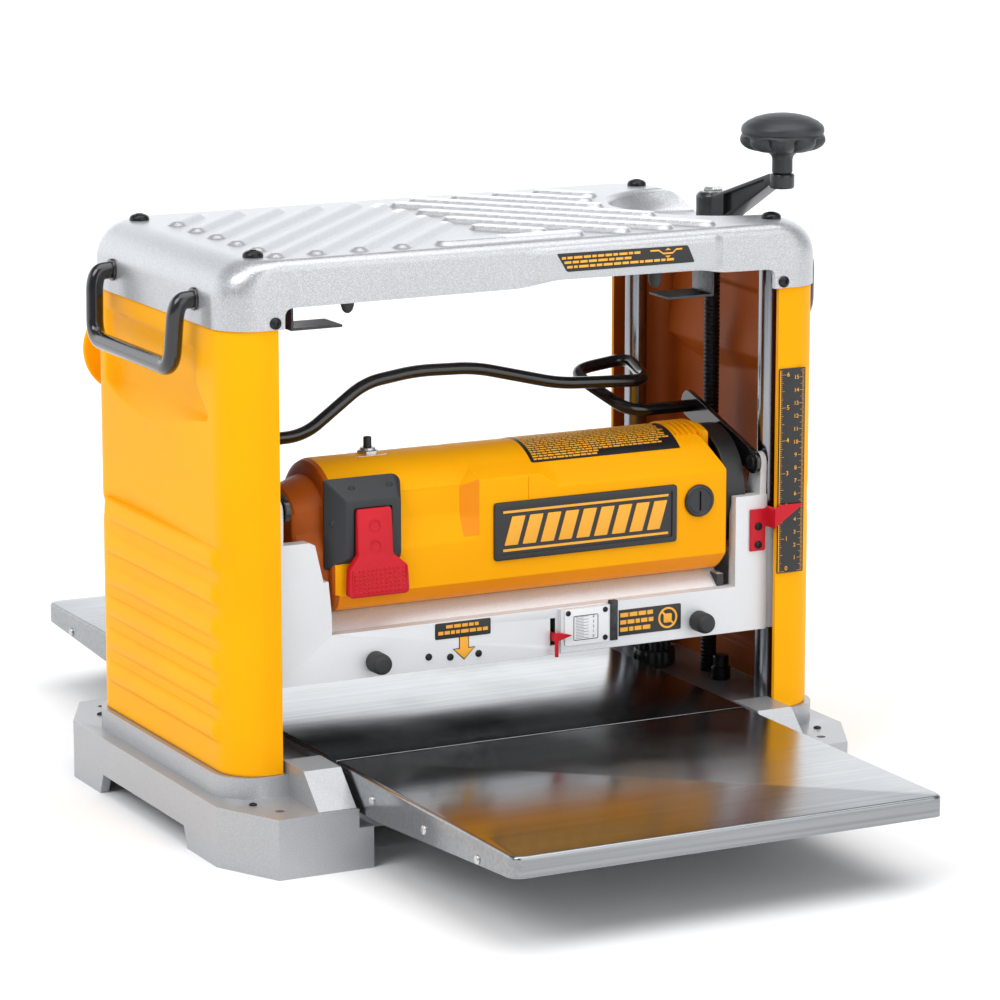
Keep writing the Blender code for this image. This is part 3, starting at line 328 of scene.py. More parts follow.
def hammered_paint():
    """Beaten-metal paint: rounded cells stand up between fine creases, and flakes of metal
    lighten some of them."""
    web, takes, gives = shader_group("hammered_paint", (("Vector", None), ("Cells", 700.0),
        ("Flakes", 1800.0)), ("Tone", "Relief"))
    cells = web.add("ShaderNodeTexVoronoi", feature="SMOOTH_F1")
    web.join(takes["Vector"], cells.inputs["Vector"])
    web.join(takes["Cells"], cells.inputs["Scale"])
    cells.inputs["Smoothness"].default_value = 0.7
    flakes = web.noise(takes["Vector"], takes["Flakes"], 2.0, 0.7)
    blotch = web.noise(takes["Vector"], 38.0, 3.0)
    fleck = web.spread(flakes, 0.42, 0.68)
    tone = web.math("ADD", web.math("MULTIPLY", fleck, 0.88), web.math("MULTIPLY", blotch, 0.12))
    web.join(tone, gives["Tone"])
    relief = web.math("SUBTRACT", 1.0, cells.outputs["Distance"])
    web.join(web.math("ADD", relief, web.math("MULTIPLY", flakes, 0.35)), gives["Relief"])
    return web.tree


def moulded_skin():
    """Moulded plastic: faint flow clouds and a fine spark-etched skin."""
    web, takes, gives = shader_group("moulded_skin", (("Vector", None), ("Grain", 900.0),
        ("Clouds", 7.0)), ("Tone", "Relief"))
    web.join(web.spread(web.noise(takes["Vector"], takes["Clouds"], 2.0), 0.3, 0.7), gives["Tone"])
    web.join(web.noise(takes["Vector"], takes["Grain"], 3.0, 0.6), gives["Relief"])
    return web.tree


def drawn_metal():
    """Ground or drawn metal: noise stretched along one direction, with faint smudges."""
    web, takes, gives = shader_group("drawn_metal", (("Vector", None),
        ("Stretch", (3.0, 500.0, 500.0)), ("Smudges", 9.0)), ("Tone", "Relief", "Smudge"))
    pulled = web.add("ShaderNodeVectorMath", operation="MULTIPLY")
    web.join(takes["Vector"], pulled.inputs[0])
    web.join(takes["Stretch"], pulled.inputs[1])
    streak = web.noise(pulled.outputs[0], 1.0, 3.0, 0.6)
    web.join(streak, gives["Relief"])
    web.join(web.spread(streak, 0.3, 0.7), gives["Tone"])
    web.join(web.spread(web.noise(takes["Vector"], takes["Smudges"], 3.0, 0.55), 0.35, 0.7),
        gives["Smudge"])
    return web.tree


GROUPS = {"hammered": hammered_paint(), "moulded": moulded_skin(), "drawn": drawn_metal()}


def finish_of(name, group, dark, light, rough, metal=0.0, coat=0.0, relief=0.4, depth=0.0001,
        shine=0.5, **settings):
    """Principled finish: the group's tone runs the colour from dark to light and the
    roughness across its range, and its relief feeds a bump."""
    finish = bpy.data.materials.new(name)
    finish.use_nodes = True
    web = Web(finish.node_tree)
    shader = web.tree.nodes["Principled BSDF"]
    where = web.add("ShaderNodeTexCoord")
    pattern = web.add("ShaderNodeGroup", node_tree=GROUPS[group])
    web.join(where.outputs["Object"], pattern.inputs["Vector"])
    for label, value in settings.items():
        pattern.inputs[label].default_value = value
    tone = pattern.outputs["Tone"]
    colour = web.add("ShaderNodeMix", data_type="RGBA")
    web.join(tone, colour.inputs["Factor"])
    colour.inputs[6].default_value = (*dark, 1)
    colour.inputs[7].default_value = (*light, 1)
    web.join(colour.outputs[2], shader.inputs["Base Color"])
    rough_tone = pattern.outputs["Smudge"] if group == "drawn" else tone
    web.join(web.spread(rough_tone, 0.0, 1.0, rough[0], rough[1]), shader.inputs["Roughness"])
    shader.inputs["Metallic"].default_value = metal
    shader.inputs["Coat Weight"].default_value = coat
    shader.inputs["Coat Roughness"].default_value = 0.12
    shader.inputs["Specular IOR Level"].default_value = shine
    bump = web.add("ShaderNodeBump")
    bump.inputs["Strength"].default_value = relief
    bump.inputs["Distance"].default_value = depth
    web.join(pattern.outputs["Relief"], bump.inputs["Height"])
    web.join(bump.outputs["Normal"], shader.inputs["Normal"])
    return finish


SILVER = finish_of("silver_hammered", "hammered", (0.43, 0.44, 0.45), (0.66, 0.67, 0.69),
    (0.28, 0.42), 0.62, relief=0.45, depth=0.0002, Flakes=1300.0)
BASE = finish_of("silver_base", "hammered", (0.36, 0.37, 0.38), (0.52, 0.53, 0.55), (0.32, 0.46),
    0.55, relief=0.4, depth=0.0002, Flakes=1600.0)
# Painted highlight: a light silver standing in for the bright reflection on the flat rib tops.
SILVER_HIGHLIT = finish_of("silver_painted_highlight", "hammered", (0.66, 0.67, 0.68), (0.80, 0.81, 0.82), (0.34, 0.44),
    0.15, relief=0.25, depth=0.0001, Flakes=1400.0)
CAST = finish_of("silver_cast", "hammered", (0.66, 0.67, 0.68), (0.84, 0.85, 0.86), (0.40, 0.52),
    0.30, relief=0.35, depth=0.00015, Cells=1100.0)
# Painted shade: a near-black copy of the cast finish for the casting's underside and inner faces.
SHADE = finish_of("cast_painted_shade", "hammered", (0.030, 0.031, 0.033), (0.060, 0.062, 0.065),
    (0.45, 0.60), 0.30, relief=0.5, depth=0.0003, Cells=1100.0)
YELLOW = finish_of("yellow_moulding", "moulded", (0.93, 0.385, 0.002), (0.97, 0.425, 0.003),
    (0.36, 0.44), relief=0.12, depth=0.00006, shine=0.06)
# Painted shade: a deeper orange standing in for the shade on the housing's slant and lower lip.
YELLOW_HALF_SHADED = finish_of("yellow_painted_half_shade", "moulded", (0.84, 0.260, 0.002), (0.88, 0.290, 0.003),
    (0.40, 0.48), relief=0.12, depth=0.00006, shine=0.2)
# Painted shade: a dark orange copy of the yellow for faces in shade inside the panels and at the
# housing's left end.
YELLOW_SHADED = finish_of("yellow_painted_shade", "moulded", (0.44, 0.085, 0.004), (0.52, 0.110, 0.006),
    (0.42, 0.52), relief=0.12, depth=0.00006, shine=0.2)
BLACK = finish_of("black_moulding", "moulded", (0.010, 0.011, 0.012), (0.016, 0.017, 0.019),
    (0.36, 0.48), relief=0.2, depth=0.00008)
BEZEL = finish_of("bezel_grey", "moulded", (0.014, 0.015, 0.017), (0.022, 0.024, 0.027),
    (0.36, 0.48), relief=0.25, depth=0.00008)
GRIP = finish_of("grip_grey", "moulded", (0.018, 0.021, 0.023), (0.028, 0.032, 0.035),
    (0.44, 0.56), relief=0.3, depth=0.0001, Grain=1400.0)
ARM = finish_of("arm_black", "moulded", (0.010, 0.011, 0.012), (0.018, 0.019, 0.021), (0.28, 0.38),
    coat=0.25, relief=0.15, depth=0.00006)
RED = finish_of("red_moulding", "moulded", (0.52, 0.008, 0.018), (0.60, 0.012, 0.024),
    (0.34, 0.42), relief=0.15, depth=0.00006, shine=0.22)
GLOSS = finish_of("black_enamel", "moulded", (0.005, 0.005, 0.006), (0.008, 0.008, 0.009),
    (0.14, 0.22), coat=0.5, relief=0.10, depth=0.00006, Grain=260.0)
RUBBER = finish_of("rubber", "moulded", (0.016, 0.017, 0.018), (0.026, 0.027, 0.029), (0.50, 0.66),
    relief=0.4, depth=0.0001, Grain=1600.0)
LABEL = finish_of("label_black", "moulded", (0.010, 0.010, 0.011), (0.014, 0.014, 0.015),
    (0.30, 0.36), relief=0.05, depth=0.00002)
INK = finish_of("label_amber", "moulded", (0.90, 0.40, 0.02), (0.95, 0.45, 0.03), (0.36, 0.42),
    relief=0.05, depth=0.00002)
WHITE = finish_of("plate_white", "moulded", (0.82, 0.83, 0.84), (0.87, 0.88, 0.89), (0.28, 0.34),
    relief=0.05, depth=0.00002)
MIRROR = finish_of("polished_sheet", "drawn", (0.26, 0.27, 0.28), (0.33, 0.34, 0.35), (0.17, 0.24),
    1.0, relief=0.04, depth=0.00002, Stretch=(2.5, 420.0, 420.0))
GROUND = finish_of("ground_steel", "drawn", (0.22, 0.23, 0.25), (0.34, 0.35, 0.37), (0.18, 0.28),
    1.0, relief=0.10, depth=0.00003, Stretch=(500.0, 500.0, 8.0))
PLATED = finish_of("plated_steel", "drawn", (0.50, 0.50, 0.49), (0.64, 0.64, 0.63), (0.24, 0.36),
    1.0, relief=0.10, depth=0.00004, Stretch=(300.0, 300.0, 300.0))
BLUED = finish_of("blued_steel", "drawn", (0.016, 0.017, 0.019), (0.036, 0.037, 0.040),
    (0.28, 0.40), 0.80, relief=0.12, depth=0.00005, Stretch=(400.0, 400.0, 400.0))
BRACKET = finish_of("bracket_steel", "drawn", (0.045, 0.046, 0.048), (0.075, 0.077, 0.080),
    (0.26, 0.38), 1.0, relief=0.10, depth=0.00004, Stretch=(300.0, 300.0, 300.0))
COPPER = finish_of("wound_core", "drawn", (0.30, 0.14, 0.06), (0.50, 0.26, 0.12), (0.35, 0.5), 0.8,
    relief=0.3, depth=0.0001, Stretch=(1500.0, 20.0, 20.0))


# ------------------------------------------------------------- sizes, metres
SIDES = {"left": -1, "right": 1}
ENDS = {"front": -1, "rear": 1}
CORNERS = [(side, sx, end, sy) for side, sx in SIDES.items() for end, sy in ENDS.items()]
COLUMN_R, COLUMN_Y = 0.0090, 0.1050
HANDLE_R, HANDLE_Y, HANDLE_Z = 0.0065, 0.0770, 0.4050
LOCK_BAR_R, LOCK_PIVOT = 0.0048, (0, -0.1140, 0.2520)
COVER_TOP = 0.4366
COVER_LOW = 0.3873
COVER_X, COVER_Y = 0.2480, 0.1325
SHOULDER_X, SHOULDER_Y = 0.0280, 0.0080
CORNER = 0.0295
WALL = 0.0040
OPEN_X, OPEN_TOP = 0.2020, 0.4023
LEAD_X = 0.2240
SCOOP_R, SCOOP_FLOOR_R, SCOOP_FLOOR = 0.0820, 0.0720, 0.4185
PANEL_X, PANEL_IN_X, PANEL_Y = 0.2465, 0.2065, 0.1310
PANEL_LOW, PANEL_TOP, PANEL_R, PANEL_WALL = 0.0610, 0.3870, 0.0280, 0.0035
RIB_LEVELS = (0.0905, 0.1160, 0.1415, 0.1670, 0.1915, 0.2165)
HEAD_FRONT = -0.1200
MOTOR_Y, MOTOR_Z, MOTOR_R = -0.0670, 0.2290, 0.0490
MOTOR_FRONT = MOTOR_Y - MOTOR_R
MOTOR_BACK, MOTOR_LOW = -0.0180, 0.1702


# ----------------------------------------------------------------- top cover
def scoop_cutter(lip=0.0050):
    """Bowl taken out round the crank hub: a cone wall that flares out in a quarter round
    at the cover's top."""
    a = np.linspace(0, math.radians(78), 7)
    run = SCOOP_R - 0.0015
    rim = np.stack([run + lip * (1 - np.cos(a)), COVER_TOP - lip + lip * np.sin(a)], 1)
    foot = bends([(0, SCOOP_FLOOR), (SCOOP_FLOOR_R, SCOOP_FLOOR), rim[0]], 0.004, 5)
    over = [(rim[-1, 0] + 0.004, COVER_TOP + 0.012), (0, COVER_TOP + 0.012)]
    return lathe("scoop", np.vstack([foot[:-1], rim, over]), (LEAD_X, 0, 0), "z", 96)


def make_cover():
    """Top casting. At a height s above where a shoulder starts, the outline is drawn in by
    R - sqrt(R^2 - s^2), with one R for the ends and a smaller one for front and back."""
    a = np.linspace(0, math.pi / 2, 13)
    levels = np.unique(np.round(np.concatenate([[COVER_LOW, COVER_LOW + 0.010], COVER_TOP -
        SHOULDER_X * (1 - np.sin(a)), COVER_TOP - SHOULDER_Y * (1 - np.sin(a))]), 6))
    rings = []
    for z in levels:
        rise = [max(0.0, z - (COVER_TOP - r)) for r in (SHOULDER_X, SHOULDER_Y)]
        in_x, in_y = [r - math.sqrt(max(0.0, r * r - s * s)) for r, s in
            zip((SHOULDER_X, SHOULDER_Y), rise)]
        rings.append(placed(rounded_box(COVER_X - in_x, COVER_Y - in_y, CORNER - 0.5 * in_y, 14),
            z, "z"))
    shell = skin("cover_shell", np.stack(rings))
    room = plate("room", rounded_box(COVER_X - WALL, COVER_Y - WALL, CORNER - WALL, 10), 0.3800,
        0.4120, "z", 0.0005)
    attic = plate("attic", rounded_box(COVER_X - 0.022, COVER_Y - WALL - 0.002, 0.020, 8), 0.4000,
        COVER_TOP - WALL, "z", 0.0030)
    attic = carve(attic, [lathe("under_scoop", [(0, SCOOP_FLOOR - 0.0030),
        (SCOOP_FLOOR_R + WALL, SCOOP_FLOOR - 0.0030), (SCOOP_R + WALL + 0.006, 0.4450),
        (0, 0.4450)], (LEAD_X, 0, 0), "z", 64)])
    hole = lathe("hub_hole", bar_ends(0.0070, 0.40, 0.43), (LEAD_X, 0, 0), "z", 32)
    mouth = bends([(-OPEN_X, 0.37), (OPEN_X, 0.37), (OPEN_X, OPEN_TOP),
        (0.1550, OPEN_TOP + 0.0007), (0.1390, OPEN_TOP + 0.0037), (0.0160, OPEN_TOP + 0.0049),
        (-0.0125, OPEN_TOP + 0.0007), (-OPEN_X, OPEN_TOP)], 0.0070, 6, closed=True)
    opening = plate("opening", mouth, -0.2, 0.2, "y", 0.0)
    shell = carve(shell, [room, attic, scoop_cutter(), hole, opening])
    fit(softened(shell, 0.0014, 3, 40), SILVER, "frame", "top_cover", "top_cover")


def capsule_rise(x, y, ends, half, edge):
    """Height mask of a bar from A to B: with d the distance to the segment, the mask is
    ease((half - d) / edge)."""
    a, b = np.asarray(ends[0]), np.asarray(ends[1])
    ab = b - a
    t = np.clip(((x - a[0]) * ab[0] + (y - a[1]) * ab[1]) / (ab @ ab), 0, 1)
    d = np.hypot(x - a[0] - t * ab[0], y - a[1] - t * ab[1])
    return ease((half - d) / edge)


SOFT_RIB = (0.0098, 0.0078)      # half width of a rib, and how wide its flank is
FLAT_RIB = (0.0102, 0.0036)
RIB_NEAR, RIB_FAR, RIB_TALL = -0.1125, 0.0970, 0.0034


def rib_lines():
    """The two fans of ribs on the cover, as end points, half width and flank width. The left
    fan climbs at 48 degrees, the right one falls at 51 and stops short of the scoop."""
    lines = []
    rise = (math.cos(math.radians(48)), math.sin(math.radians(48)))
    starts = [(-0.2000, y) for y in (0.0655, 0.0290, -0.0075, -0.0440, -0.0805)]
    starts += [(x, RIB_NEAR) for x in (-0.2000, -0.1680, -0.1340, -0.1000)]
    for x, y in starts:
        run = min((RIB_FAR - y) / rise[1], (-0.0230 - x) / rise[0])
        lines.append(((x, y), (x + run * rise[0], y + run * rise[1]), *SOFT_RIB))
    fall = (math.cos(math.radians(51)), -math.sin(math.radians(51)))
    for x in (0.0790, 0.1150, 0.1510, 0.1870, 0.2230, 0.2590, 0.2950):
        low = np.array([x, RIB_NEAR])
        run = min((RIB_FAR - RIB_NEAR) / -fall[1], (x + 0.0060) / fall[0])
        high = low - run * np.array(fall)
        t = np.linspace(0, 1, 200)[:, None]
        along = high + (low - high) * t
        clear = np.hypot(along[:, 0] - LEAD_X, along[:, 1]) > 0.1010
        stop = len(clear) - 1 if clear.all() else max(int(np.argmin(clear)) - 1, 1)
        lines.append((tuple(high), tuple(along[stop]), *FLAT_RIB))
    lines.append(((-0.0060, -0.0540), (0.0220, -0.0890), *FLAT_RIB))
    lines.append(((-0.0640, RIB_NEAR), (0.0400, RIB_NEAR), *FLAT_RIB))
    return lines


def make_cover_ribs():
    """Sheet of ribs cast on the cover: z = top + height times the highest rib mask."""
    step = 0.0015
    x, y = np.meshgrid(np.arange(-0.2150, 0.2010, step), np.arange(-0.1243, 0.1105, step),
        indexing="ij")
    mask = np.zeros_like(x)
    for ends in rib_lines():
        mask = np.maximum(mask, capsule_rise(x, y, ends[:2], *ends[2:]))
    z = COVER_TOP - 0.0003 + RIB_TALL * mask
    top = np.stack([x, y, z], -1)
    rows, cols = x.shape
    index = np.arange(rows * cols).reshape(rows, cols)
    faces = np.stack([index[:-1, :-1], index[1:, :-1], index[1:, 1:], index[:-1, 1:]],
        -1).reshape(-1, 4)
    middle = top.reshape(-1, 3)[faces].mean(1)
    keep = np.hypot(middle[:, 0] - LEAD_X, middle[:, 1]) > SCOOP_R + 0.0060
    lifted = mask.reshape(-1)[faces].max(1) > 0
    mesh = bpy.data.meshes.new("cover_ribs")
    mesh.from_pydata(top.reshape(-1, 3).tolist(), [], faces[keep & lifted].tolist())
    bm = bmesh.new()
    bm.from_mesh(mesh)
    bmesh.ops.delete(bm, geom=[v for v in bm.verts if not v.link_faces], context="VERTS")
    rim = bmesh.ops.extrude_edge_only(bm, edges=[e for e in bm.edges if e.is_boundary])
    skirt = [v for v in rim["geom"] if isinstance(v, bmesh.types.BMVert)]
    bmesh.ops.translate(bm, vec=(0, 0, -0.0020), verts=skirt)
    bmesh.ops.contextual_create(bm, geom=[e for e in bm.edges if e.is_boundary])
    bm.to_mesh(mesh)
    bm.free()
    ribs = fit(tidied("cover_ribs", mesh, 60), SILVER, "frame", "top_cover")

    def worn(centre, normal):
        """Painted highlight: the flat tops of the right fan, given a lighter silver that stands in
        for a bright reflection.
        """
        x, y, z = centre.T
        fan = x + 0.0180 > (y + 0.1250) * -0.10
        return fan & (z > COVER_TOP + 0.0027) & (normal[:, 2] > 0.85)

    # Painted highlight: the flat tops of the right fan get the light silver.
    tinted(ribs, SILVER_HIGHLIT, worn)


def make_front_pad():
    """Raised field on the cover's front: y = front - rise * mask, the mask easing out at
    both ends and at the top."""
    x, z = np.meshgrid(np.linspace(-0.0160, 0.1600, 120), np.linspace(0.4076, 0.4330, 26),
        indexing="ij")
    ends = ease((x + 0.0150) / 0.0200) * ease((0.1590 - x) / 0.0110)
    mask = ends * ease((0.4330 - z) / 0.0060)
    lap = COVER_TOP - SHOULDER_Y
    back = np.where(z > lap, SHOULDER_Y - np.sqrt(np.maximum(SHOULDER_Y ** 2 -
        np.maximum(z - lap, 0) ** 2, 0)), 0.0)
    front = placed(np.stack([x, z], -1), -COVER_Y + back + 0.0003 - 0.0024 * mask, "y")
    inner = placed(np.stack([x, z], -1), np.full_like(x, -COVER_Y + 0.0026), "y")
    ring = np.concatenate([front, inner[:, ::-1]], 1)
    fit(skin("cover_front_pad", ring, angle=60), SILVER, "frame", "top_cover")


def screw_head(name, centre, axis, radius, tall, finish, body, slot, toward=1, drive="cross"):
    """Domed screw head with a drive recess; its rim is a quarter ellipse."""
    a = np.linspace(0, math.pi / 2, 7)
    dome = np.stack([radius * np.cos(a), toward * tall * (0.25 + 0.75 * np.sin(a))], 1)
    profile = np.vstack([[(0, -toward * SEAT)], [(radius, -toward * SEAT)], dome])
    head = lathe(name, profile, centre, axis, 28)
    first, second, third = AXES[axis]
    low, high = sorted((centre[third] + toward * tall * 0.55, centre[third] + toward * tall * 2))
    cutters = []
    if drive == "hex":
        middle = [0.0 if i == third else centre[i] for i in range(3)]
        cutters.append(lathe("drive", bar_ends(radius * 0.42, low, high), middle, axis, 6))
    else:
        thin, long = radius * 0.13, radius * (1.3 if drive == "slot" else 0.55)
        sizes = [(long, thin)] + ([] if drive == "slot" else [(thin, long)])
        for a, b in sizes:
            outline = np.array([(-a, -b), (a, -b), (a, b), (-a, b)])
            outline = outline + [centre[first], centre[second]]
            cutters.append(plate("drive", outline, low, high, axis, 0.0))
    return fit(carve(head, cutters), finish, body, slot)


# --------------------------------------------------------------- side panels
SWEEP_Y = (-0.110, -0.097, -0.045, 0.013, 0.060, 0.101, 0.108)
SWEEP_Z = (0.2330, 0.2346, 0.2398, 0.2428, 0.2418, 0.2319, 0.2270)
SILL = 0.3197


def panel_relief(y, z):
    """How far the side of a panel stands out: six half-round ribs, a facet that leans in
    under a swept line above them, and a hand recess whose lens-shaped sill leans out."""
    ends = ease((0.1080 - y) / 0.0120) * ease((y + 0.1100) / 0.0060)
    out = np.zeros_like(z)
    for level in RIB_LEVELS:
        up = np.where(z > level, (z - level) / 0.0095, (level - z) / 0.0068)
        out = np.maximum(out, 0.0036 * np.sqrt(np.clip(1 - up ** 2, 0, 1)) * ends)
    line = np.interp(y, SWEEP_Y, SWEEP_Z)
    lean = np.clip((line - z) / (line - 0.2230), 0, 1) * ease((z - 0.2080) / 0.0080)
    across = ease((y + 0.1060) / 0.1500) * ease((0.1120 - y) / 0.0150)
    out = out - 0.0046 * lean * (0.25 + 0.75 * across) * (out < 0.0002)
    ledge = 0.3717 + 0.030 * y
    arc = SILL - 0.0172 * np.sin(math.pi * np.clip((0.0960 - y) / 0.1920, 0, 1) ** 0.75)
    front = -0.0740 - 0.0220 * ease((0.3480 - z) / 0.0280)
    mask = ease((y - front) / 0.0120) * ease((0.0990 - y) / 0.0100) * ease((ledge - z) / 0.0030)
    deep = 0.0026 + 0.0054 * ease((0.3660 - z) / 0.0460)
    deep = deep * np.where(z < SILL, np.clip((z - arc) / np.maximum(SILL - arc, 1e-4), 0, 1), 1)
    return out - deep * mask


def make_panel(side):
    """C-shaped panel: each level is a ring that runs round the outside and back inside, a
    wall's thickness away, and its flat side carries the relief."""
    a = np.linspace(0, math.pi / 2, 14)

    def wall(inset):
        """Half of the C as (x, y) with straight ends, an arc, and the flat side."""
        r = PANEL_R - inset
        out_x, out_y = PANEL_X - inset, PANEL_Y - inset
        face = np.linspace(PANEL_IN_X, out_x - r, 8)[:-1]
        lead = np.stack([face, np.full_like(face, -out_y)], 1)
        arc = np.stack([out_x - r + r * np.sin(a), -out_y + r - r * np.cos(a)], 1)
        flat_y = np.linspace(-out_y + r, out_y - r, 150)[1:-1]
        flat = np.stack([np.full_like(flat_y, out_x), flat_y], 1)
        half = np.vstack([lead, arc])
        return np.vstack([half, flat, half[::-1] * [1, -1]])

    outer, inner = wall(0.0), wall(PANEL_WALL)
    z = np.concatenate([[PANEL_LOW], np.linspace(PANEL_LOW + 0.0012, PANEL_TOP - 0.0012, 205),
        [PANEL_TOP]])
    rings = []
    for path in (outer, inner[::-1]):
        y, level = np.meshgrid(path[:, 1], z, indexing="xy")
        x = np.broadcast_to(path[:, 0], y.shape)
        flat = (np.abs(y) < 0.1200) & (x > 0.2350)
        rings.append(np.stack([x + panel_relief(y, level) * flat, y, level], -1))
    ring = np.concatenate(rings, 1)
    rim = np.minimum(z - PANEL_LOW, PANEL_TOP - z) < 1e-6
    count = len(outer)
    ring[rim, :count, 0] -= 0.0008 * np.sign(ring[rim, :count, 0]) * (
        np.abs(ring[rim, :count, 0]) > 0.2200)
    ring[..., 0] *= side
    word = "left" if side < 0 else "right"
    panel = skin(f"panel_{word}_shape", ring, angle=48)
    fit(panel, YELLOW, "frame", f"side_panel_{word}", f"side_panel_{word}")
    core = [PANEL_X - PANEL_R, PANEL_Y - PANEL_R]

    def faces_in(centre, normal):
        """True where the face looks towards the middle of the panel's C."""
        away = centre[:, :2] - np.sign(centre[:, :2]) * np.minimum(np.abs(centre[:, :2]), core)
        return np.sum(unit(away) * normal[:, :2], 1) < -0.3

    # Painted shade: the faces inside the C get the dark orange copy of the yellow.
    tinted(panel, YELLOW_SHADED, faces_in)


# ------------------------------------------------------------- frame pieces
def make_columns():
    """Ground columns, and the domed screw over each of them."""
    for side, sx, end, sy in CORNERS:
        node = f"column_{end}_{side}"
        rod = turned(node + "_shape", bar_ends(COLUMN_R, 0.0402, 0.4321),
            (sx * 0.2145, sy * COLUMN_Y, 0), "z", 0.0010, 48)
        fit(rod, GROUND, "frame", node, node)
        node = f"cover_screw_{end}_{side}"
        head = screw_head(node + "_shape", (sx * 0.2143, sy * COLUMN_Y, COVER_TOP + 0.0003), "z",
            0.0075, 0.0048, BLUED, "frame", node, 1, "hex")
        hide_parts(node)


def make_handles():
    """Carry handles: round bar carried along a bent path, with a collar where each end
    enters the cover."""
    for side, sx in SIDES.items():
        node = f"carry_handle_{side}"
        half = np.array([(-COVER_X - 0.0003, HANDLE_Y, HANDLE_Z), (-0.2625, 0.0775, 0.4040),
            (-0.2648, 0.0730, 0.3548)])
        corners = np.vstack([half, half[::-1] * [1, -1, 1]])
        path = bends(corners, 0.0150, 14) * [-sx, 1, 1]
        fit(tube_along(node + "_bar", path, HANDLE_R, 24), GLOSS, "frame", node, node)
        low, high = sorted((sx * (COVER_X - 0.0010), sx * (COVER_X + 0.0022)))
        for end, sy in ENDS.items():
            collar = turned(f"handle_collar_{side}_{end}", bar_ends(0.0084, low, high),
                (0, sy * HANDLE_Y, HANDLE_Z), "x", 0.0008, 28)
            fit(collar, GLOSS, "frame", node)


def tube_along(name, path, radius, count=20):
    """Round bar on any path: the ring is square to the path and is carried on from point to
    point by the least turn, so it never twists."""
    run = unit(np.diff(path, axis=0))
    along = unit(np.vstack([run[:1], run[:-1] + run[1:], run[-1:]]))
    side = unit(np.cross(along[0], [0.1234, 0.3, 0.94]))
    frames = []
    for t in along:
        side = side - t * (side @ t)
        side = side / np.linalg.norm(side)
        frames.append(side)
    side = np.array(frames)
    rise = np.cross(side, along)
    a = np.arange(count) / count * TAU
    ring = np.stack([np.cos(a), np.sin(a)], 1) * radius
    grid = path[:, None] + ring[None, :, :1] * side[:, None] + ring[None, :, 1:] * rise[:, None]
    return skin(name, grid, angle=50)


def make_brackets():
    """The two bent strips under the cover."""
    for side in SIDES:
        keep(f"cover_bracket_{side}", BRACKET, "frame", 0.0004)


# ------------------------------------------------------------------- numbers
def figures(name, text, size, centre, axis_right, axis_up, lift, finish, body, slot):
    """Plain figures as a thin mesh: flat letters given a depth, then set on two directions."""
    curve = bpy.data.curves.new(name, "FONT")
    curve.body, curve.size = text, size
    curve.align_x, curve.align_y = "CENTER", "CENTER"
    curve.extrude, curve.resolution_u = 0.00012, 3
    holder = linked(name + "_flat", curve)
    bpy.context.view_layer.update()
    mesh = bpy.data.meshes.new_from_object(holder)
    bpy.data.objects.remove(holder)
    co = np.empty(len(mesh.vertices) * 3)
    mesh.vertices.foreach_get("co", co)
    co = co.reshape(-1, 3)
    right, up = np.asarray(axis_right, float), np.asarray(axis_up, float)
    out = np.cross(right, up)
    place = (np.asarray(centre) + co[:, :1] * right + co[:, 1:2] * up + (co[:, 2:3] + lift) * out)
    mesh.vertices.foreach_set("co", place.ravel())
    mesh.materials.clear()
    return fit(tidied(name, mesh, 30), finish, body, slot)


def bars(name, boxes, low, high, axis, finish, body, slot):
    """Many small flat bars as one piece; each box is (a0, a1, b0, b1) in the plane."""
    boxes = np.asarray(boxes, float)
    corner = np.array([(0, 2), (1, 2), (1, 3), (0, 3)])
    flat = np.stack([boxes[:, corner[:, 0]], boxes[:, corner[:, 1]]], -1)
    points = np.concatenate([placed(flat, low, axis), placed(flat, high, axis)], 1)
    base = np.arange(len(boxes))[:, None, None] * 8
    sides = np.array([(0, 1, 2, 3), (7, 6, 5, 4), (0, 4, 5, 1), (1, 5, 6, 2), (2, 6, 7, 3),
        (3, 7, 4, 0)])
    faces = (base + sides).reshape(-1, 4).tolist()
    return fit(as_mesh(name, points, faces, 30), finish, body, slot)


def word_row(rng, x, end, z0, z1, lengths, gap):
    """One row of plain bars of random lengths, as boxes (x0, x1, z0, z1)."""
    row = []
    while x < end - 0.002:
        stop = min(x + float(rng.uniform(*lengths)), end)
        row.append((x, stop, z0, z1))
        x = stop + gap
    return row


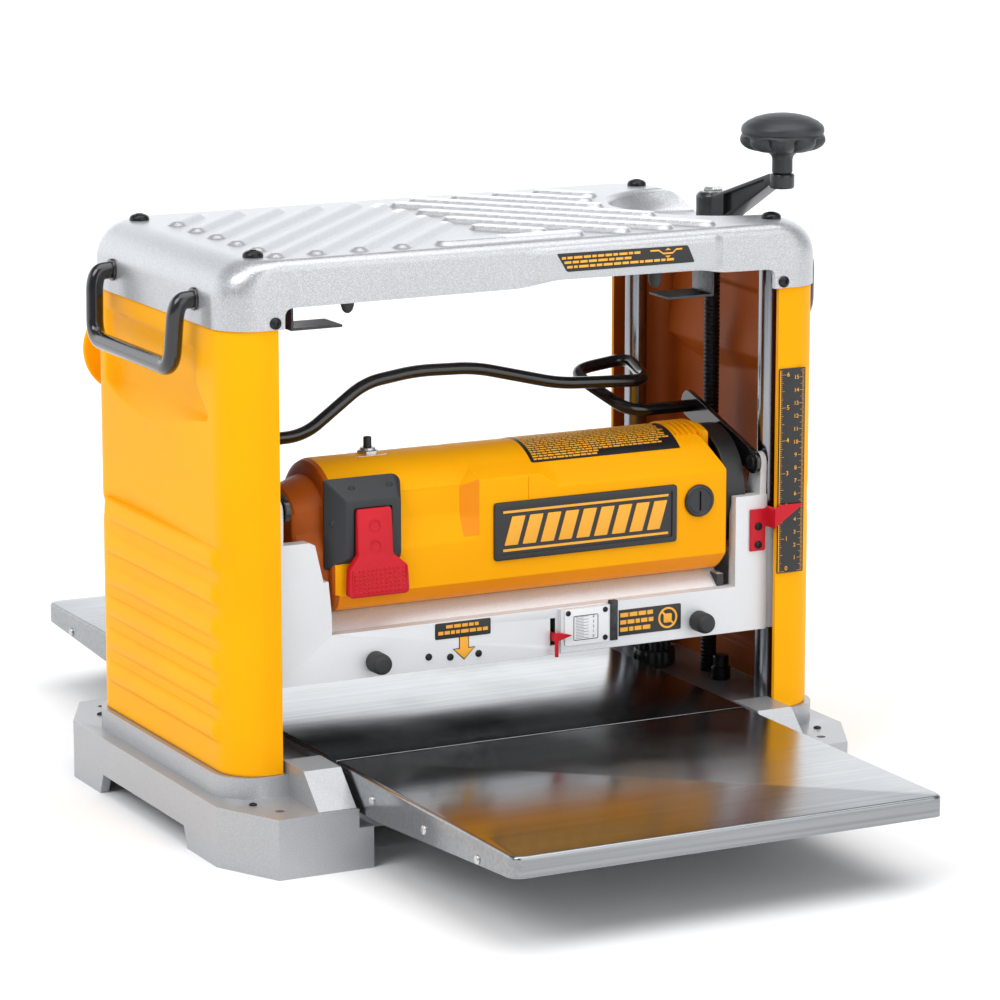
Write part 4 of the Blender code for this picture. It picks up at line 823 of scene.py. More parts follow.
def make_rule():
    """Height rule: inches on the left edge, centimetres on the right, counted up from the
    bed."""
    x0, x1, y = 0.2072, 0.2300, -PANEL_Y - 0.0003
    z0, z1 = 0.1671, 0.3255
    fit(plate("rule_plate", round_rect(x0, x1, z0, z1, 0.0008), y - 0.0010, y, "y", 0.0002), LABEL,
        "frame", "height_scale", "height_scale")
    face = y - 0.0010
    zero = z0 + 0.0012
    marks = [(x0 + 0.0006, x0 + 0.0012, z0 + 0.001, z1 - 0.001)]
    inch, cm = 0.0254, 0.0100
    inch_marks = ((16, 0.0048), (8, 0.0034), (4, 0.0024), (1, 0.0014))
    cm_marks = ((10, 0.0046), (5, 0.0032), (1, 0.0018))
    for unit_long, share, kinds, edge, way in ((inch, 16, inch_marks, x0 + 0.0012, 1),
            (cm, 10, cm_marks, x1 - 0.0010, -1)):
        for n in range(int((z1 - 0.001 - zero) / (unit_long / share)) + 1):
            z = zero + n * unit_long / share
            long = next(size for every, size in kinds if n % every == 0)
            marks.append((*sorted((edge, edge + way * long)), z - 0.00011, z + 0.00011))
    bars("rule_marks", marks, face - 0.00012, face + 0.0001, "y", INK, "frame", "height_scale")
    right, up = (1, 0, 0), (0, 0, 1)
    for n in range(7):
        z = min(zero + n * inch + (0.0022 if n == 0 else 0), z1 - 0.003)
        figures(f"rule_inch_{n}", str(n), 0.0050, (x0 + 0.0078, face, z), right, up, 0.0, INK,
            "frame", "height_scale")
    for n in range(1, 16):
        figures(f"rule_cm_{n}", str(n), 0.0044, (x1 - 0.0078, face, zero + n * cm), right, up, 0.0,
            INK, "frame", "height_scale")


# --------------------------------------------------------------------- crank
KNOB = (0.23656, -0.08306)
KNOB_LOW, KNOB_TOP = 0.4673, 0.5130
CRANK_TURN = math.radians(-81.4)
CRANK_R = 0.0840


def make_crank():
    """Arm: sections carried outwards along it, each a rounded box whose middle, half width
    and half height change along the way, with a long pocket cut in either side."""
    t = np.linspace(0, 1, 40)

    def spine(t):
        """Distance out, middle height and half height of the arm's section."""
        upper = 0.4436 + (0.4664 - 0.4436) * np.clip((t - 0.06) / 0.84, 0, 1)
        lower = 0.4204 + (0.4570 - 0.4204) * np.clip((t - 0.12) / 0.78, 0, 1)
        return 0.0070 + (CRANK_R - 0.0070) * t, (upper + lower) / 2, (upper - lower) / 2

    along, middle, tall = spine(t)
    wide = 0.0092 - 0.0018 * t
    ring = rounded_box(1.0, 1.0, 0.18, 6)
    grid = np.stack([along[:, None] + 0 * ring[None, :, 0], wide[:, None] * ring[None, :, 0],
        middle[:, None] + tall[:, None] * ring[None, :, 1]], -1)
    arm = skin("crank_arm_shape", grid, angle=40)
    x, mid, half = spine(np.linspace(0.22, 0.84, 24))
    half = half - 0.0030
    outline = bends(np.stack([np.append(x, x[::-1]), np.append(mid + half, (mid - half)[::-1])],
        1), 0.0012, 4, closed=True)
    pockets = [plate("pocket", outline, *sorted((side * 0.0048, side * 0.0200)), "y", 0.0) for side
        in (-1, 1)]
    arm = carve(arm, pockets)
    hub = turned("crank_hub", [(0, 0.4190), (0.0130, 0.4190), (0.0132, 0.4412), (0.0108, 0.4440),
        (0, 0.4440)], (0, 0, 0), "z", 0.0012, 48)
    boss = turned("crank_boss", [(0, 0.4555), (0.0088, 0.4555), (0.0095, 0.4570), (0.0095, 0.4658),
        (0.0086, 0.4670), (0, 0.4670)], (CRANK_R, 0, 0), "z", 0.0008, 40)
    softened(arm, 0.0008, 2, 40)
    c, s = math.cos(CRANK_TURN), math.sin(CRANK_TURN)
    for piece in (arm, hub, boss):
        co = np.empty(len(piece.data.vertices) * 3)
        piece.data.vertices.foreach_get("co", co)
        co = co.reshape(-1, 3)
        co = np.stack([LEAD_X + c * co[:, 0] - s * co[:, 1], s * co[:, 0] + c * co[:, 1],
            co[:, 2]], 1)
        piece.data.vertices.foreach_set("co", co.ravel())
        fit(piece, ARM, "crank", "crank_arm")
    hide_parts("crank_arm")
    bolt = lathe("crank_bolt_head", [(0, 0.4443), (0.0082, 0.4443), (0.0084, 0.4462),
        (0.0070, 0.4478), (0, 0.4480)], (LEAD_X, 0, 0), "z", 6)
    fit(softened(bolt, 0.0004), PLATED, "crank", "crank_bolt", "crank_bolt")
    washer = turned("crank_washer", bar_ends(0.0094, 0.4438, 0.4447), (LEAD_X, 0, 0), "z", 0.0003)
    fit(washer, PLATED, "crank", "crank_bolt")


def make_knob():
    """Mushroom knob: in the grip band r is scaled by 1 - 0.15 (1 - |cos 4.5a|^0.7), which
    fades out above and below it."""
    def lobes(a, h):
        band = ease((h - (KNOB_LOW + 0.0140)) / 0.0040) * ease((KNOB_LOW + 0.0296 - h) / 0.0030)
        return 1 - band * 0.15 * (1 - np.abs(np.cos(4.5 * a)) ** 0.7)

    rise = np.array([(0.0074, 0.0), (0.0079, 0.0008), (0.0078, 0.0105), (0.0086, 0.0135),
        (0.0115, 0.0158), (0.0160, 0.0170), (0.0215, 0.0172), (0.0268, 0.0188), (0.0305, 0.0212),
        (0.0326, 0.0240), (0.0330, 0.0264), (0.0322, 0.0286), (0.0310, 0.0297), (0.0308, 0.0303),
        (0.0316, 0.0311), (0.0317, 0.0343), (0.0306, 0.0366), (0.0270, 0.0396), (0.0210, 0.0425),
        (0.0140, 0.0444), (0.0070, 0.0454)])
    profile = np.vstack([[(0, KNOB_LOW)], rise + [0, KNOB_LOW], [(0, KNOB_TOP)]])
    fine = bends(profile, 0.0011, 4)
    knob = lathe("crank_knob_shape", fine, (*KNOB, 0), "z", 144, lobes, angle=50)
    fit(knob, GRIP, "knob", "crank_knob", "crank_knob")


# ------------------------------------------------------------- motor housing
BODY_FRONT = ((-0.1160, 0.2155), (-0.1075, 0.2345), (-0.1075, 0.2550))
BLOCK_FRONT = ((-0.1160, 0.2155), (-0.1160, 0.2345), (-0.1160, 0.2600))
STEP_FRONT = ((-0.1160, 0.2155), (-0.1160, 0.2345), (-0.1160, 0.2490))


def housing_outline(front, start, inset=0.0, count=36):
    """Side view of the housing as (y, z): a dome from the start angle down to the back, the
    foot, a lip, and three front corners."""
    a = np.radians(np.linspace(start, 0, count))
    dome = np.stack([MOTOR_Y + MOTOR_R * np.cos(a), MOTOR_Z + MOTOR_R * np.sin(a)], 1)
    corners = [dome[-1], (MOTOR_BACK, MOTOR_LOW), (-0.1040, MOTOR_LOW), (-0.1120, 0.1742),
        (-0.1156, 0.1832), (-0.1160, 0.1842), *front, dome[0]]
    radius = (0, 0.0060, 0.0060, 0.0050, 0.0004, 0.0004, 0.0030, 0.0030, 0.0016, 0)
    outline = np.vstack([dome[1:-1], bends(corners, radius, 5)])
    middle = np.array([MOTOR_Y, MOTOR_Z - 0.0150])
    return middle + (outline - middle) * (1 - inset / 0.0500)


def make_housing():
    """Housing: outlines joined along x. The front starts set back behind the switch, comes
    out over a slant to the block, and its shoulder steps down to the right. A bell closes
    the left end, and five low ribs cross the top."""
    stations = []
    for x, inset in ((-0.1582, 0.0060), (-0.1576, 0.0034), (-0.1560, 0.0014), (-0.1530, 0.0003),
            (-0.1500, 0.0), (-0.0520, 0.0), (-0.0515, 0.0)):
        stations.append((x, BODY_FRONT, 146, inset))
    for x, inset in ((-0.0390, 0.0), (-0.0385, 0.0), (0.0119, 0.0)):
        stations.append((x, BLOCK_FRONT, 130, inset))
    for x, inset in ((0.0274, 0.0), (0.0280, 0.0), (0.1695, 0.0), (0.1710, 0.0004),
            (0.1718, 0.0012), (0.1720, 0.0024)):
        stations.append((x, STEP_FRONT, 141, inset))
    rings = np.stack([placed(housing_outline(front, start, inset), x, "x") for x, front, start,
        inset in stations])
    block = skin("housing_block", rings, angle=24)
    cutters = []
    for near, far in ((0.2478, 0.2900), (0.1855, 0.1650)):
        over = far + (far - near) * 0.2
        cut = [(0.1800, near), (0.1722, near), (0.1722 - 0.48 * abs(far - near), far),
            (0.1722 - 0.48 * abs(far - near), over), (0.1800, over)]
        cutters.append(plate("corner", cut, MOTOR_FRONT - 0.01, MOTOR_FRONT + 0.030, "y", 0.0))
    seam = plate("seam", [(0.0016, 0.2420), (0.0021, 0.2420), (0.0021, 0.2700), (0.0016, 0.2700)],
        MOTOR_FRONT - 0.01, MOTOR_FRONT + 0.0006, "y", 0.0)
    block = carve(block, cutters + [seam], angle=24)
    fit(softened(block, 0.0008, 2, 40), YELLOW, "head", "motor_housing", "motor_housing")
    # Painted shade: faces at the left end that look left get the dark orange copy of the yellow.
    tinted(block, YELLOW_SHADED, lambda centre, normal: (centre[:, 0] < -0.15) &
        (normal[:, 0] < -0.35))
    # Painted shade: the slant between body and block and the lower lip get the deeper orange.
    block.data.materials.append(YELLOW_HALF_SHADED)
    for face in block.data.polygons:
        middle, out = face.center, face.normal
        chamfer = -0.0515 < middle.x < -0.0385 and out.x < -0.25 and out.z < 0.6
        lip = middle.z < 0.1838 and out.y < -0.2 and middle.x > -0.152
        if chamfer or lip:
            face.material_index = 2
    rings = []
    for x, inset in ((-0.1820, 0.0190), (-0.1812, 0.0165), (-0.1790, 0.0145), (-0.1640, 0.0100),
            (-0.1570, 0.0085), (-0.1550, 0.0085)):
        rings.append(placed(housing_outline(BODY_FRONT, 146, inset), x, "x"))
    # Painted shade: the whole bell gets the dark orange copy of the yellow.
    bell = skin("housing_bell", np.stack(rings), angle=24)
    fit(bell, YELLOW_SHADED, "head", "motor_housing")
    a = np.radians(np.linspace(118, 62, 16))
    for n in range(5):
        x = 0.1420 + 0.0050 * n
        arcs = [np.stack([MOTOR_Y + r * np.cos(a), MOTOR_Z + r * np.sin(a)], 1) for r in
            (MOTOR_R + 0.0016, MOTOR_R - 0.0030)]
        fit(plate(f"vent_rib_{n}", np.vstack([arcs[0], arcs[1][::-1]]), x, x + 0.0026, "x",
            0.0004), YELLOW, "head", "motor_housing")


def curved_patch(name, x0, x1, angle0, angle1, low, high, finish, count=40):
    """Thin sheet bent round the motor: P = axis + r (cos a, sin a) for r from low to high."""
    a = np.radians(np.linspace(angle0, angle1, count))
    def arc(r):
        return np.stack([MOTOR_Y + r * np.cos(a), MOTOR_Z + r * np.sin(a)], 1)
    outline = np.vstack([arc(high), arc(low)[::-1]])
    ring = np.stack([placed(outline, x, "x") for x in (x0, x1)])
    return fit(skin(name, ring), finish, "head", "motor_housing")


def make_top_label():
    """Black label bent over the housing's top, with rows of plain amber bars."""
    r = MOTOR_R
    curved_patch("top_label", 0.0125, 0.1398, 132, 70, r - 0.0004, r + 0.00025, LABEL)
    rng = np.random.default_rng(11)
    points, faces = [], []
    for row in range(19):
        a0 = math.radians(129.6 - 3.05 * row)
        a1 = a0 - math.radians(1.75)
        x, end = 0.0155, 0.1360 - (0.0640 if row < 2 else 0.0060 if row < 4 else 0.0)
        while x < end - 0.004:
            run = float(rng.uniform(0.0020, 0.0062))
            stop = min(x + run, end)
            base = len(points)
            for r1 in (r, r + 0.0004):
                for px, pa in ((x, a0), (stop, a0), (stop, a1), (x, a1)):
                    points.append((px, MOTOR_Y + r1 * math.cos(pa), MOTOR_Z + r1 * math.sin(pa)))
            faces += [[base + i for i in f] for f in ((0, 1, 2, 3), (7, 6, 5, 4), (0, 4, 5, 1),
                (1, 5, 6, 2), (2, 6, 7, 3), (3, 7, 4, 0))]
            x = stop + 0.0008
    fit(as_mesh("top_label_bars", np.array(points), faces, 30), INK, "head", "motor_housing")


def make_badge():
    """Name plate with a raised rim and, in place of a name, two amber lines and a row of
    slanted bars."""
    y = MOTOR_FRONT
    x0, x1, z0, z1 = -0.0275, 0.1275, 0.1975, 0.2415
    rim_width = 0.0042
    outer = round_rect(x0, x1, z0, z1, 0.0030, 6)
    rim = plate("badge_rim", outer, y - 0.0020, y + 0.0008, "y", 0.0008, 4)
    well = round_rect(x0 + rim_width, x1 - rim_width, z0 + rim_width, z1 - rim_width, 0.0016, 5)
    rim = carve(rim, [plate("well", well, y - 0.0040, y - 0.0010, "y", 0.0)])
    fit(rim, BEZEL, "head", "motor_badge", "motor_badge")
    boxes = [(x0 + 0.0075, x1 - 0.0075, z, z + 0.0018) for z in (z0 + 0.0066, z1 - 0.0084)]
    bars("badge_lines", boxes, y - 0.0015, y - 0.0008, "y", INK, "head", "motor_badge")
    count, lean, gap = 9, 0.0065, 0.0040
    left, right = x0 + 0.0085, x1 - 0.0085
    width = (right - left - lean - gap * (count - 1)) / count
    for n in range(count):
        a = left + n * (width + gap)
        shape = np.array([(a, z0 + 0.0112), (a + width, z0 + 0.0112),
            (a + width + lean, z1 - 0.0112), (a + lean, z1 - 0.0112)])
        fit(plate(f"badge_bar_{n}", bends(shape, 0.0006, 3, closed=True), y - 0.0018, y - 0.0008,
            "y", 0.0003), INK, "head", "motor_badge")


def make_brush_cap():
    """Round cap with a raised rim and a slot."""
    face = MOTOR_FRONT
    cap = turned("brush_cap_shape", [(0, face + 0.0006), (0.0124, face + 0.0006),
        (0.0124, face - 0.0018), (0.0112, face - 0.0030), (0.0098, face - 0.0030),
        (0.0092, face - 0.0024), (0, face - 0.0024)], (0.1472, 0, 0.2270), "y", 0.0004, 56)
    slot = plate("slot", [(0.1464, 0.2195), (0.1480, 0.2195), (0.1480, 0.2345), (0.1464, 0.2345)],
        face - 0.0060, face - 0.0008, "y", 0.0)
    fit(carve(cap, [slot]), BEZEL, "head", "brush_cap", "brush_cap")


# ------------------------------------------------------------------- switch
def make_switch():
    """Bezel: outline rings from its base to its face, each ring drawn in more on the left
    and top than on the right, with a seat for the paddle."""
    base_y = MOTOR_FRONT + 0.0085
    face_y = MOTOR_FRONT - 0.0055
    base = bends([(-0.1620, 0.2030), (-0.1005, 0.2030), (-0.1005, 0.2655), (-0.1050, 0.2700),
        (-0.1620, 0.2700)], 0.0030, 6, closed=True)
    face = bends([(-0.1500, 0.2120), (-0.1060, 0.2120), (-0.1060, 0.2535), (-0.1075, 0.2550),
        (-0.1500, 0.2550)], 0.0026, 6, closed=True)
    stages = ((0.0, 0.0, 0.0), (0.0, 0.10, 0.0), (0.92, 0.94, 0.0), (0.985, 0.99, 0.0),
        (1.0, 1.0, 0.0006))
    rings = [placed(drawn_in(base * (1 - s) + face * s, inset), base_y + (face_y - base_y) * d,
        "y") for s, d, inset in stages]
    bezel = skin("switch_bezel_shape", np.stack(rings), angle=25)
    seat = plate("seat", round_rect(-0.1440, -0.1130, 0.1950, 0.2498, 0.0020), face_y - 0.005,
        face_y + 0.0022, "y", 0.0)
    bezel = carve(bezel, [seat])
    fit(softened(bezel, 0.0007, 3, 25), BEZEL, "head", "switch_bezel", "switch_bezel")
    for name, x, z in (("bezel_screw_left", -0.1425, 0.2622),
            ("bezel_screw_right", -0.1120, 0.2622), ("bezel_screw_side", -0.1568, 0.2380),
            ("bezel_screw_foot", -0.1500, 0.2068)):
        sunk = max((0.2700 - z) / 0.0150 if z > 0.25 else (x + 0.1620) / 0.0120 if z > 0.22 else
            (z - 0.2030) / 0.0090, 0.0)
        y = base_y + (face_y - base_y) * sunk + 0.0004
        screw_head(name, (x, y, z), "y", 0.0030, 0.0014, BLACK, "head", "switch_bezel", -1, "slot")


def make_paddle():
    """Paddle: the outline widens below into a foot; rings go from its back to a face that
    leans out towards the foot, with a dished field of small pips."""
    back = MOTOR_FRONT - 0.0058

    def face_at(z):
        """Where the leaning face is at a height."""
        return back - 0.0026 - 0.0046 * np.clip((0.2520 - z) / 0.0720, 0, 1) ** 0.8

    right = [(-0.1150, 0.2470), (-0.1148, 0.2150), (-0.1030, 0.2050), (-0.1022, 0.1865),
        (-0.1045, 0.1842)]
    left = [(-0.1490, 0.1842), (-0.1512, 0.1865), (-0.1504, 0.2050), (-0.1430, 0.2150),
        (-0.1428, 0.2470)]
    outline = bends([(-0.1418, 0.2490), (-0.1160, 0.2490)] + right + left, 0.0016, 5, closed=True)
    lean = back - face_at(outline[:, 1])
    levels = ((0.0, 0.0), (0.80, 0.0), (0.93, 0.0004), (1.0, 0.0012))
    rings = []
    for share, inset in levels:
        flat = drawn_in(outline, inset)
        rings.append(np.stack([flat[:, 0], back - lean * share, flat[:, 1]], -1))
    paddle = skin("switch_paddle_shape", np.stack(rings), angle=30)
    fit(paddle, RED, "paddle", "switch_paddle", "switch_paddle")
    pips, faces = [], []
    columns, rows = np.meshgrid(np.arange(12), np.arange(6), indexing="ij")
    for c, r in zip(columns.ravel(), rows.ravel()):
        x, z = -0.1459 + 0.0035 * c, 0.1882 + 0.0032 * r
        if r == 5 and c in (0, 11):
            continue
        y = face_at(z) + 0.0001
        base = len(pips)
        for size, dy in ((0.00115, 0.0), (0.0006, -0.0007)):
            pips += [(x - size, y + dy, z - size), (x + size, y + dy, z - size),
                (x + size, y + dy, z + size), (x - size, y + dy, z + size)]
        faces += [[base + i for i in f] for f in ((0, 3, 2, 1), (4, 5, 6, 7), (0, 1, 5, 4),
            (1, 2, 6, 5), (2, 3, 7, 6), (3, 0, 4, 7))]
    fit(as_mesh("paddle_pips", np.array(pips), faces, 30), RED, "paddle", "switch_paddle")
    frame_bars = [(-0.1486, -0.1479, 0.1868, 0.2050), (-0.1052, -0.1045, 0.1868, 0.2050),
        (-0.1486, -0.1045, 0.1860, 0.1868)]
    for n, (a, b, c, d) in enumerate(frame_bars):
        y = face_at((c + d) / 2)
        fit(plate(f"paddle_edge_{n}", [(a, c), (b, c), (b, d), (a, d)], y - 0.0006, y + 0.0010,
            "y", 0.0003, 3), RED, "paddle", "switch_paddle")
    for n, z in enumerate((0.2365, 0.2215)):
        y = face_at(z)
        ring = lathe(f"paddle_mark_{n}", [(0.0046, y + 0.0006), (0.0046, y - 0.0004),
            (0.0038, y - 0.0004), (0.0038, y + 0.0006)], (-0.1290, 0, z), "y", 32)
        fit(ring, RED, "paddle", "switch_paddle")


def make_breaker():
    """Overload button: plate, six-sided nut, bored neck and the pin that slides in it."""
    top = MOTOR_Z + MOTOR_R - 0.0008
    centre = (-0.1065, MOTOR_Y + 0.0010, 0)
    tab = round_rect(-0.1200, -0.0930, MOTOR_Y - 0.0080, MOTOR_Y + 0.0100, 0.0030, 5)
    fit(plate("breaker_plate", tab, top - 0.0016, top + 0.0004, "z", 0.0002), PLATED, "head",
        "breaker_collar")
    nut = lathe("breaker_nut", [(0, top + 0.0003), (0.0084, top + 0.0003), (0.0084, top + 0.0028),
        (0.0074, top + 0.0034), (0.0042, top + 0.0034), (0.0042, top + 0.0008), (0, top + 0.0008)],
        centre, "z", 6)
    fit(softened(nut, 0.0004), PLATED, "head", "breaker_collar", "breaker_collar")
    neck = turned("breaker_neck", [(0, top + 0.0004), (0.0050, top + 0.0004),
        (0.0050, top + 0.0030), (0.0058, top + 0.0030), (0.0056, top + 0.0050),
        (0.0036, top + 0.0052), (0.0036, top + 0.0009), (0, top + 0.0009)], centre, "z", 0.0004,
        32)
    fit(neck, PLATED, "head", "breaker_collar")
    pin = turned("breaker_pin", [(0, top + 0.0045), (0.0031, top + 0.0045), (0.0031, top + 0.0124),
        (0.0024, top + 0.0132), (0, top + 0.0132)], centre, "z", 0.0005, 28)
    fit(pin, BLACK, "breaker", "breaker_button", "breaker_button")


# ------------------------------------------------------------- head fittings
def make_gauge():
    """Depth gauge: white plate with a window of fine lines, three black screws, and the red
    pointer beside it."""
    y = -0.1243
    outline = round_rect(0.0278, 0.0650, 0.1285, 0.1560, 0.0018, 5)
    fit(plate("gauge_plate", outline, y - 0.0009, y, "y", 0.0002), WHITE, "head", "gauge_scale",
        "gauge_scale")
    face = y - 0.0009
    fit(window_frame("gauge_window", (0.0350, 0.0560, 0.1320, 0.1510), 0.0005, face), BLACK,
        "head", "gauge_scale")
    marks = []
    for n in range(15):
        z = 0.1335 + 0.00118 * n
        long = 0.0110 if n % 2 == 0 else 0.0070
        marks.append((0.0368, 0.0368 + long, z - 0.00012, z + 0.00012))
    bars("gauge_lines", marks, face - 0.00012, face + 0.0001, "y", BLACK, "head", "gauge_scale")
    for n in range(5):
        figures(f"gauge_figure_{n}", str(n), 0.0030, (0.0520, face, 0.1342 + 0.0037 * n),
            (1, 0, 0), (0, 0, 1), 0.0, BLACK, "head", "gauge_scale")
    for n, (x, z) in enumerate(((0.0305, 0.1535), (0.0620, 0.1535), (0.0620, 0.1320))):
        screw_head(f"gauge_screw_{n}", (x, face, z), "y", 0.0021, 0.0012, BLUED, "head",
            "gauge_scale", -1)
    # Painted shadow: a dark strip stands where the side of the gauge block lies in shade.
    fit(plate("gauge_shadow_strip", round_rect(0.0668, 0.0732, 0.1285, 0.1592, 0.0006, 3), -0.1248,
        -0.1200, "y", 0.0004), BRACKET, "head", "head_casting")
    shape = bends([(0.0188, 0.1215), (0.0214, 0.1215), (0.0214, 0.1338), (0.0228, 0.1340),
        (0.0330, 0.1370), (0.0228, 0.1400), (0.0188, 0.1400)], 0.0005, 3, closed=True)
    fit(plate("gauge_arrow", shape, -0.1275, -0.1256, "y", 0.0003), RED, "gauge", "gauge_pointer",
        "gauge_pointer")
    foot = plate("gauge_foot", [(0.0190, 0.1332), (0.0212, 0.1332), (0.0212, 0.1388),
        (0.0190, 0.1388)], -0.1258, -0.1030, "y", 0.0002)
    fit(foot, RED, "gauge", "gauge_pointer")


def window_frame(name, box, width, face):
    """Thin raised frame round a window: an outline carried round with a square section."""
    outer = round_rect(*box, 0.0014, 5)
    inner = drawn_in(outer, width)
    rings = [placed(outer, face + 0.0001, "y"), placed(outer, face - 0.00022, "y"),
        placed(inner, face - 0.00022, "y"), placed(inner, face + 0.0001, "y")]
    grid = np.stack(rings + rings[:1])
    return skin(name, grid, caps=False)


def make_head_labels():
    """Plain label fields with amber bars instead of words, and a generic arrow."""
    y = HEAD_FRONT

    def ink(name, outline, lift=0.0005, base=0.0002):
        fit(plate(name, outline, y - lift, y - base, "y", 0.0001), INK, "head", "head_casting")

    def label(name, outline, out=0.0004):
        fit(plate(name, outline, y - out, y + 0.0004, "y", 0.0001), LABEL, "head", "head_casting")

    label("label_left", round_rect(-0.0780, -0.0320, 0.1440, 0.1562, 0.0014))
    rng = np.random.default_rng(5)
    pieces = (word_row(rng, -0.0690, -0.0410, 0.1519, 0.1543, (0.0030, 0.0062), 0.0010) +
        word_row(rng, -0.0755, -0.0345, 0.1473, 0.1499, (0.0030, 0.0062), 0.0010))
    bars("label_left_bars", pieces, y - 0.00055, y - 0.0002, "y", INK, "head", "head_casting")
    arrow = [(-0.0575, 0.1440), (-0.0575, 0.1352), (-0.0622, 0.1352), (-0.0541, 0.1275),
        (-0.0460, 0.1352), (-0.0507, 0.1352), (-0.0507, 0.1440)]
    label("arrow_edge", drawn_in(np.array(arrow), -0.0007), 0.0003)
    ink("arrow_face", arrow, base=-0.0002)
    label("label_right", round_rect(0.0745, 0.1300, 0.1300, 0.1500, 0.0014))
    pieces = []
    for z in (0.1460, 0.1404, 0.1348):
        pieces += word_row(rng, 0.0775, 0.1060, z - 0.0016, z + 0.0016, (0.0034, 0.0070), 0.0011)
    bars("label_right_bars", pieces, y - 0.00055, y - 0.0002, "y", INK, "head", "head_casting")
    centre = (0.1185, 0, 0.1400)
    a = [(0.0082, y + 0.0001), (0.0082, y - 0.0006), (0.0066, y - 0.0006), (0.0066, y + 0.0001)]
    fit(lathe("label_ring", a, centre, "y", 40), INK, "head", "head_casting")
    s = math.sqrt(0.5)
    bar = np.array([(-0.0070, -0.0008), (0.0070, -0.0008), (0.0070, 0.0008), (-0.0070, 0.0008)])
    bar = bar @ np.array([[s, -s], [s, s]]) + [0.1185, 0.1400]
    ink("label_stroke", bar, 0.00062)
    ink("label_palm", round_rect(0.1150, 0.1220, 0.1362, 0.1432, 0.0012))


def make_head_fittings():
    """Casting, bumpers, pointer, guard, hood, gear case and cable gland of the head."""
    casting = keep("head_casting", CAST, "head", 0.0013, 3)
    # Painted shade: the casting's underside and the faces inside it get the near-black finish.
    tinted(casting, SHADE, lambda centre, normal: ((np.abs(centre[:, 1]) < 0.1185) &
        (centre[:, 2] < 0.1690) & (normal[:, 2] < 0.3) & ((normal[:, 2] < -0.3) |
        (np.abs(centre[:, 0]) < 0.17))))
    for n, (x, z, drive) in enumerate(((-0.0832, 0.1318, "slot"), (-0.0655, 0.1298, "cross"),
            (-0.0420, 0.1300, "cross"))):
        screw_head(f"plate_screw_{n}", (x, HEAD_FRONT, z), "y", 0.0027, 0.0016, BLUED, "head",
            "head_casting", -1, drive)
    for name, x, z, sy in (("bumper_front_left", -0.1269, 0.1336, -1),
            ("bumper_front_right", 0.1452, 0.1347, -1), ("bumper_rear_left", -0.1269, 0.1500, 1),
            ("bumper_rear_right", 0.1452, 0.1500, 1)):
        face = 0.1200 if sy < 0 else 0.1120
        profile = [(0, sy * (face - 0.0004)), (0.0080, sy * (face - 0.0004)),
            (0.0078, sy * (face + 0.0125)), (0.0062, sy * (face + 0.0158)),
            (0, sy * (face + 0.0160))]
        fit(turned(name + "_pad", profile, (x, 0, z), "y", 0.0016, 40), RUBBER, "head", name, name)
    keep("head_pointer", RED, "head", 0.0004)
    for n, z in enumerate((0.2032, 0.1889)):
        screw_head(f"pointer_screw_{n}", (0.1964, -0.1218, z), "y", 0.0031, 0.0018, BLUED, "head",
            "head_pointer", -1)
    keep("belt_guard", BLACK, "head", 0.0035, 4, 40)
    for n, (y, z) in enumerate(((-0.0670, 0.2290), (0.0, 0.1435))):
        radius = (0.030, 0.010)[n]
        disc = turned(f"guard_ring_{n}", [(0, 0.1888), (radius, 0.1888), (radius, 0.1910),
            (radius - 0.0040, 0.1910), (radius - 0.0045, 0.1902), (0, 0.1902)], (0, y, z), "x",
            0.0004, 56)
        fit(disc, BLACK, "head", "belt_guard")
    keep("chip_hood", BLACK, "head", 0.0016, 3)
    keep("feed_gear_case", BLACK, "head", 0.0016, 3)
    back = MOTOR_BACK
    gland = turned("cable_gland_shape", [(0, back + 0.0003), (0.0090, back + 0.0003),
        (0.0090, back + 0.0060), (0.0060, back + 0.0080), (0.0060, back + 0.0110),
        (0.0054, back + 0.0114), (0.0054, back + 0.0136), (0.0060, back + 0.0140),
        (0.0060, back + 0.0166), (0.0052, back + 0.0170), (0.0052, back + 0.0192),
        (0.0057, back + 0.0196), (0.0050, back + 0.0240), (0, back + 0.0240)],
        (-0.1200, 0, 0.2050), "y", 0.0004, 36)
    fit(gland, RUBBER, "head", "cable_gland", "cable_gland")


# -------------------------------------------------------------- cutting line
def make_rollers():
    for node, sy in (("infeed_roller", -1), ("outfeed_roller", 1)):
        profile = [(0, -0.1735), (0.0056, -0.1735), (0.0060, -0.1730), (0.0060, -0.1630),
            (0.0132, -0.1630), (0.0138, -0.1622), (0.0138, 0.1622), (0.0132, 0.1630),
            (0.0060, 0.1630), (0.0060, 0.1730), (0.0056, 0.1735), (0, 0.1735)]
        roller = lathe(node + "_shape", profile, (0, sy * 0.0620, 0.1360), "x", 48)
        body = "infeed_roll" if sy < 0 else "outfeed_roll"
        fit(roller, RUBBER, body, node, node)
    keep("cutterhead", PLATED, "cutter", 0.0004)
    keep("cutter_pulley", PLATED, "cutter", 0.0002, 1)
    keep("motor_pulley", PLATED, "rotor", 0.0002, 1)
    keep("motor_armature", COPPER, "rotor", 0.0006)
    keep("drive_belt", RUBBER, "head", 0.0003, 1)


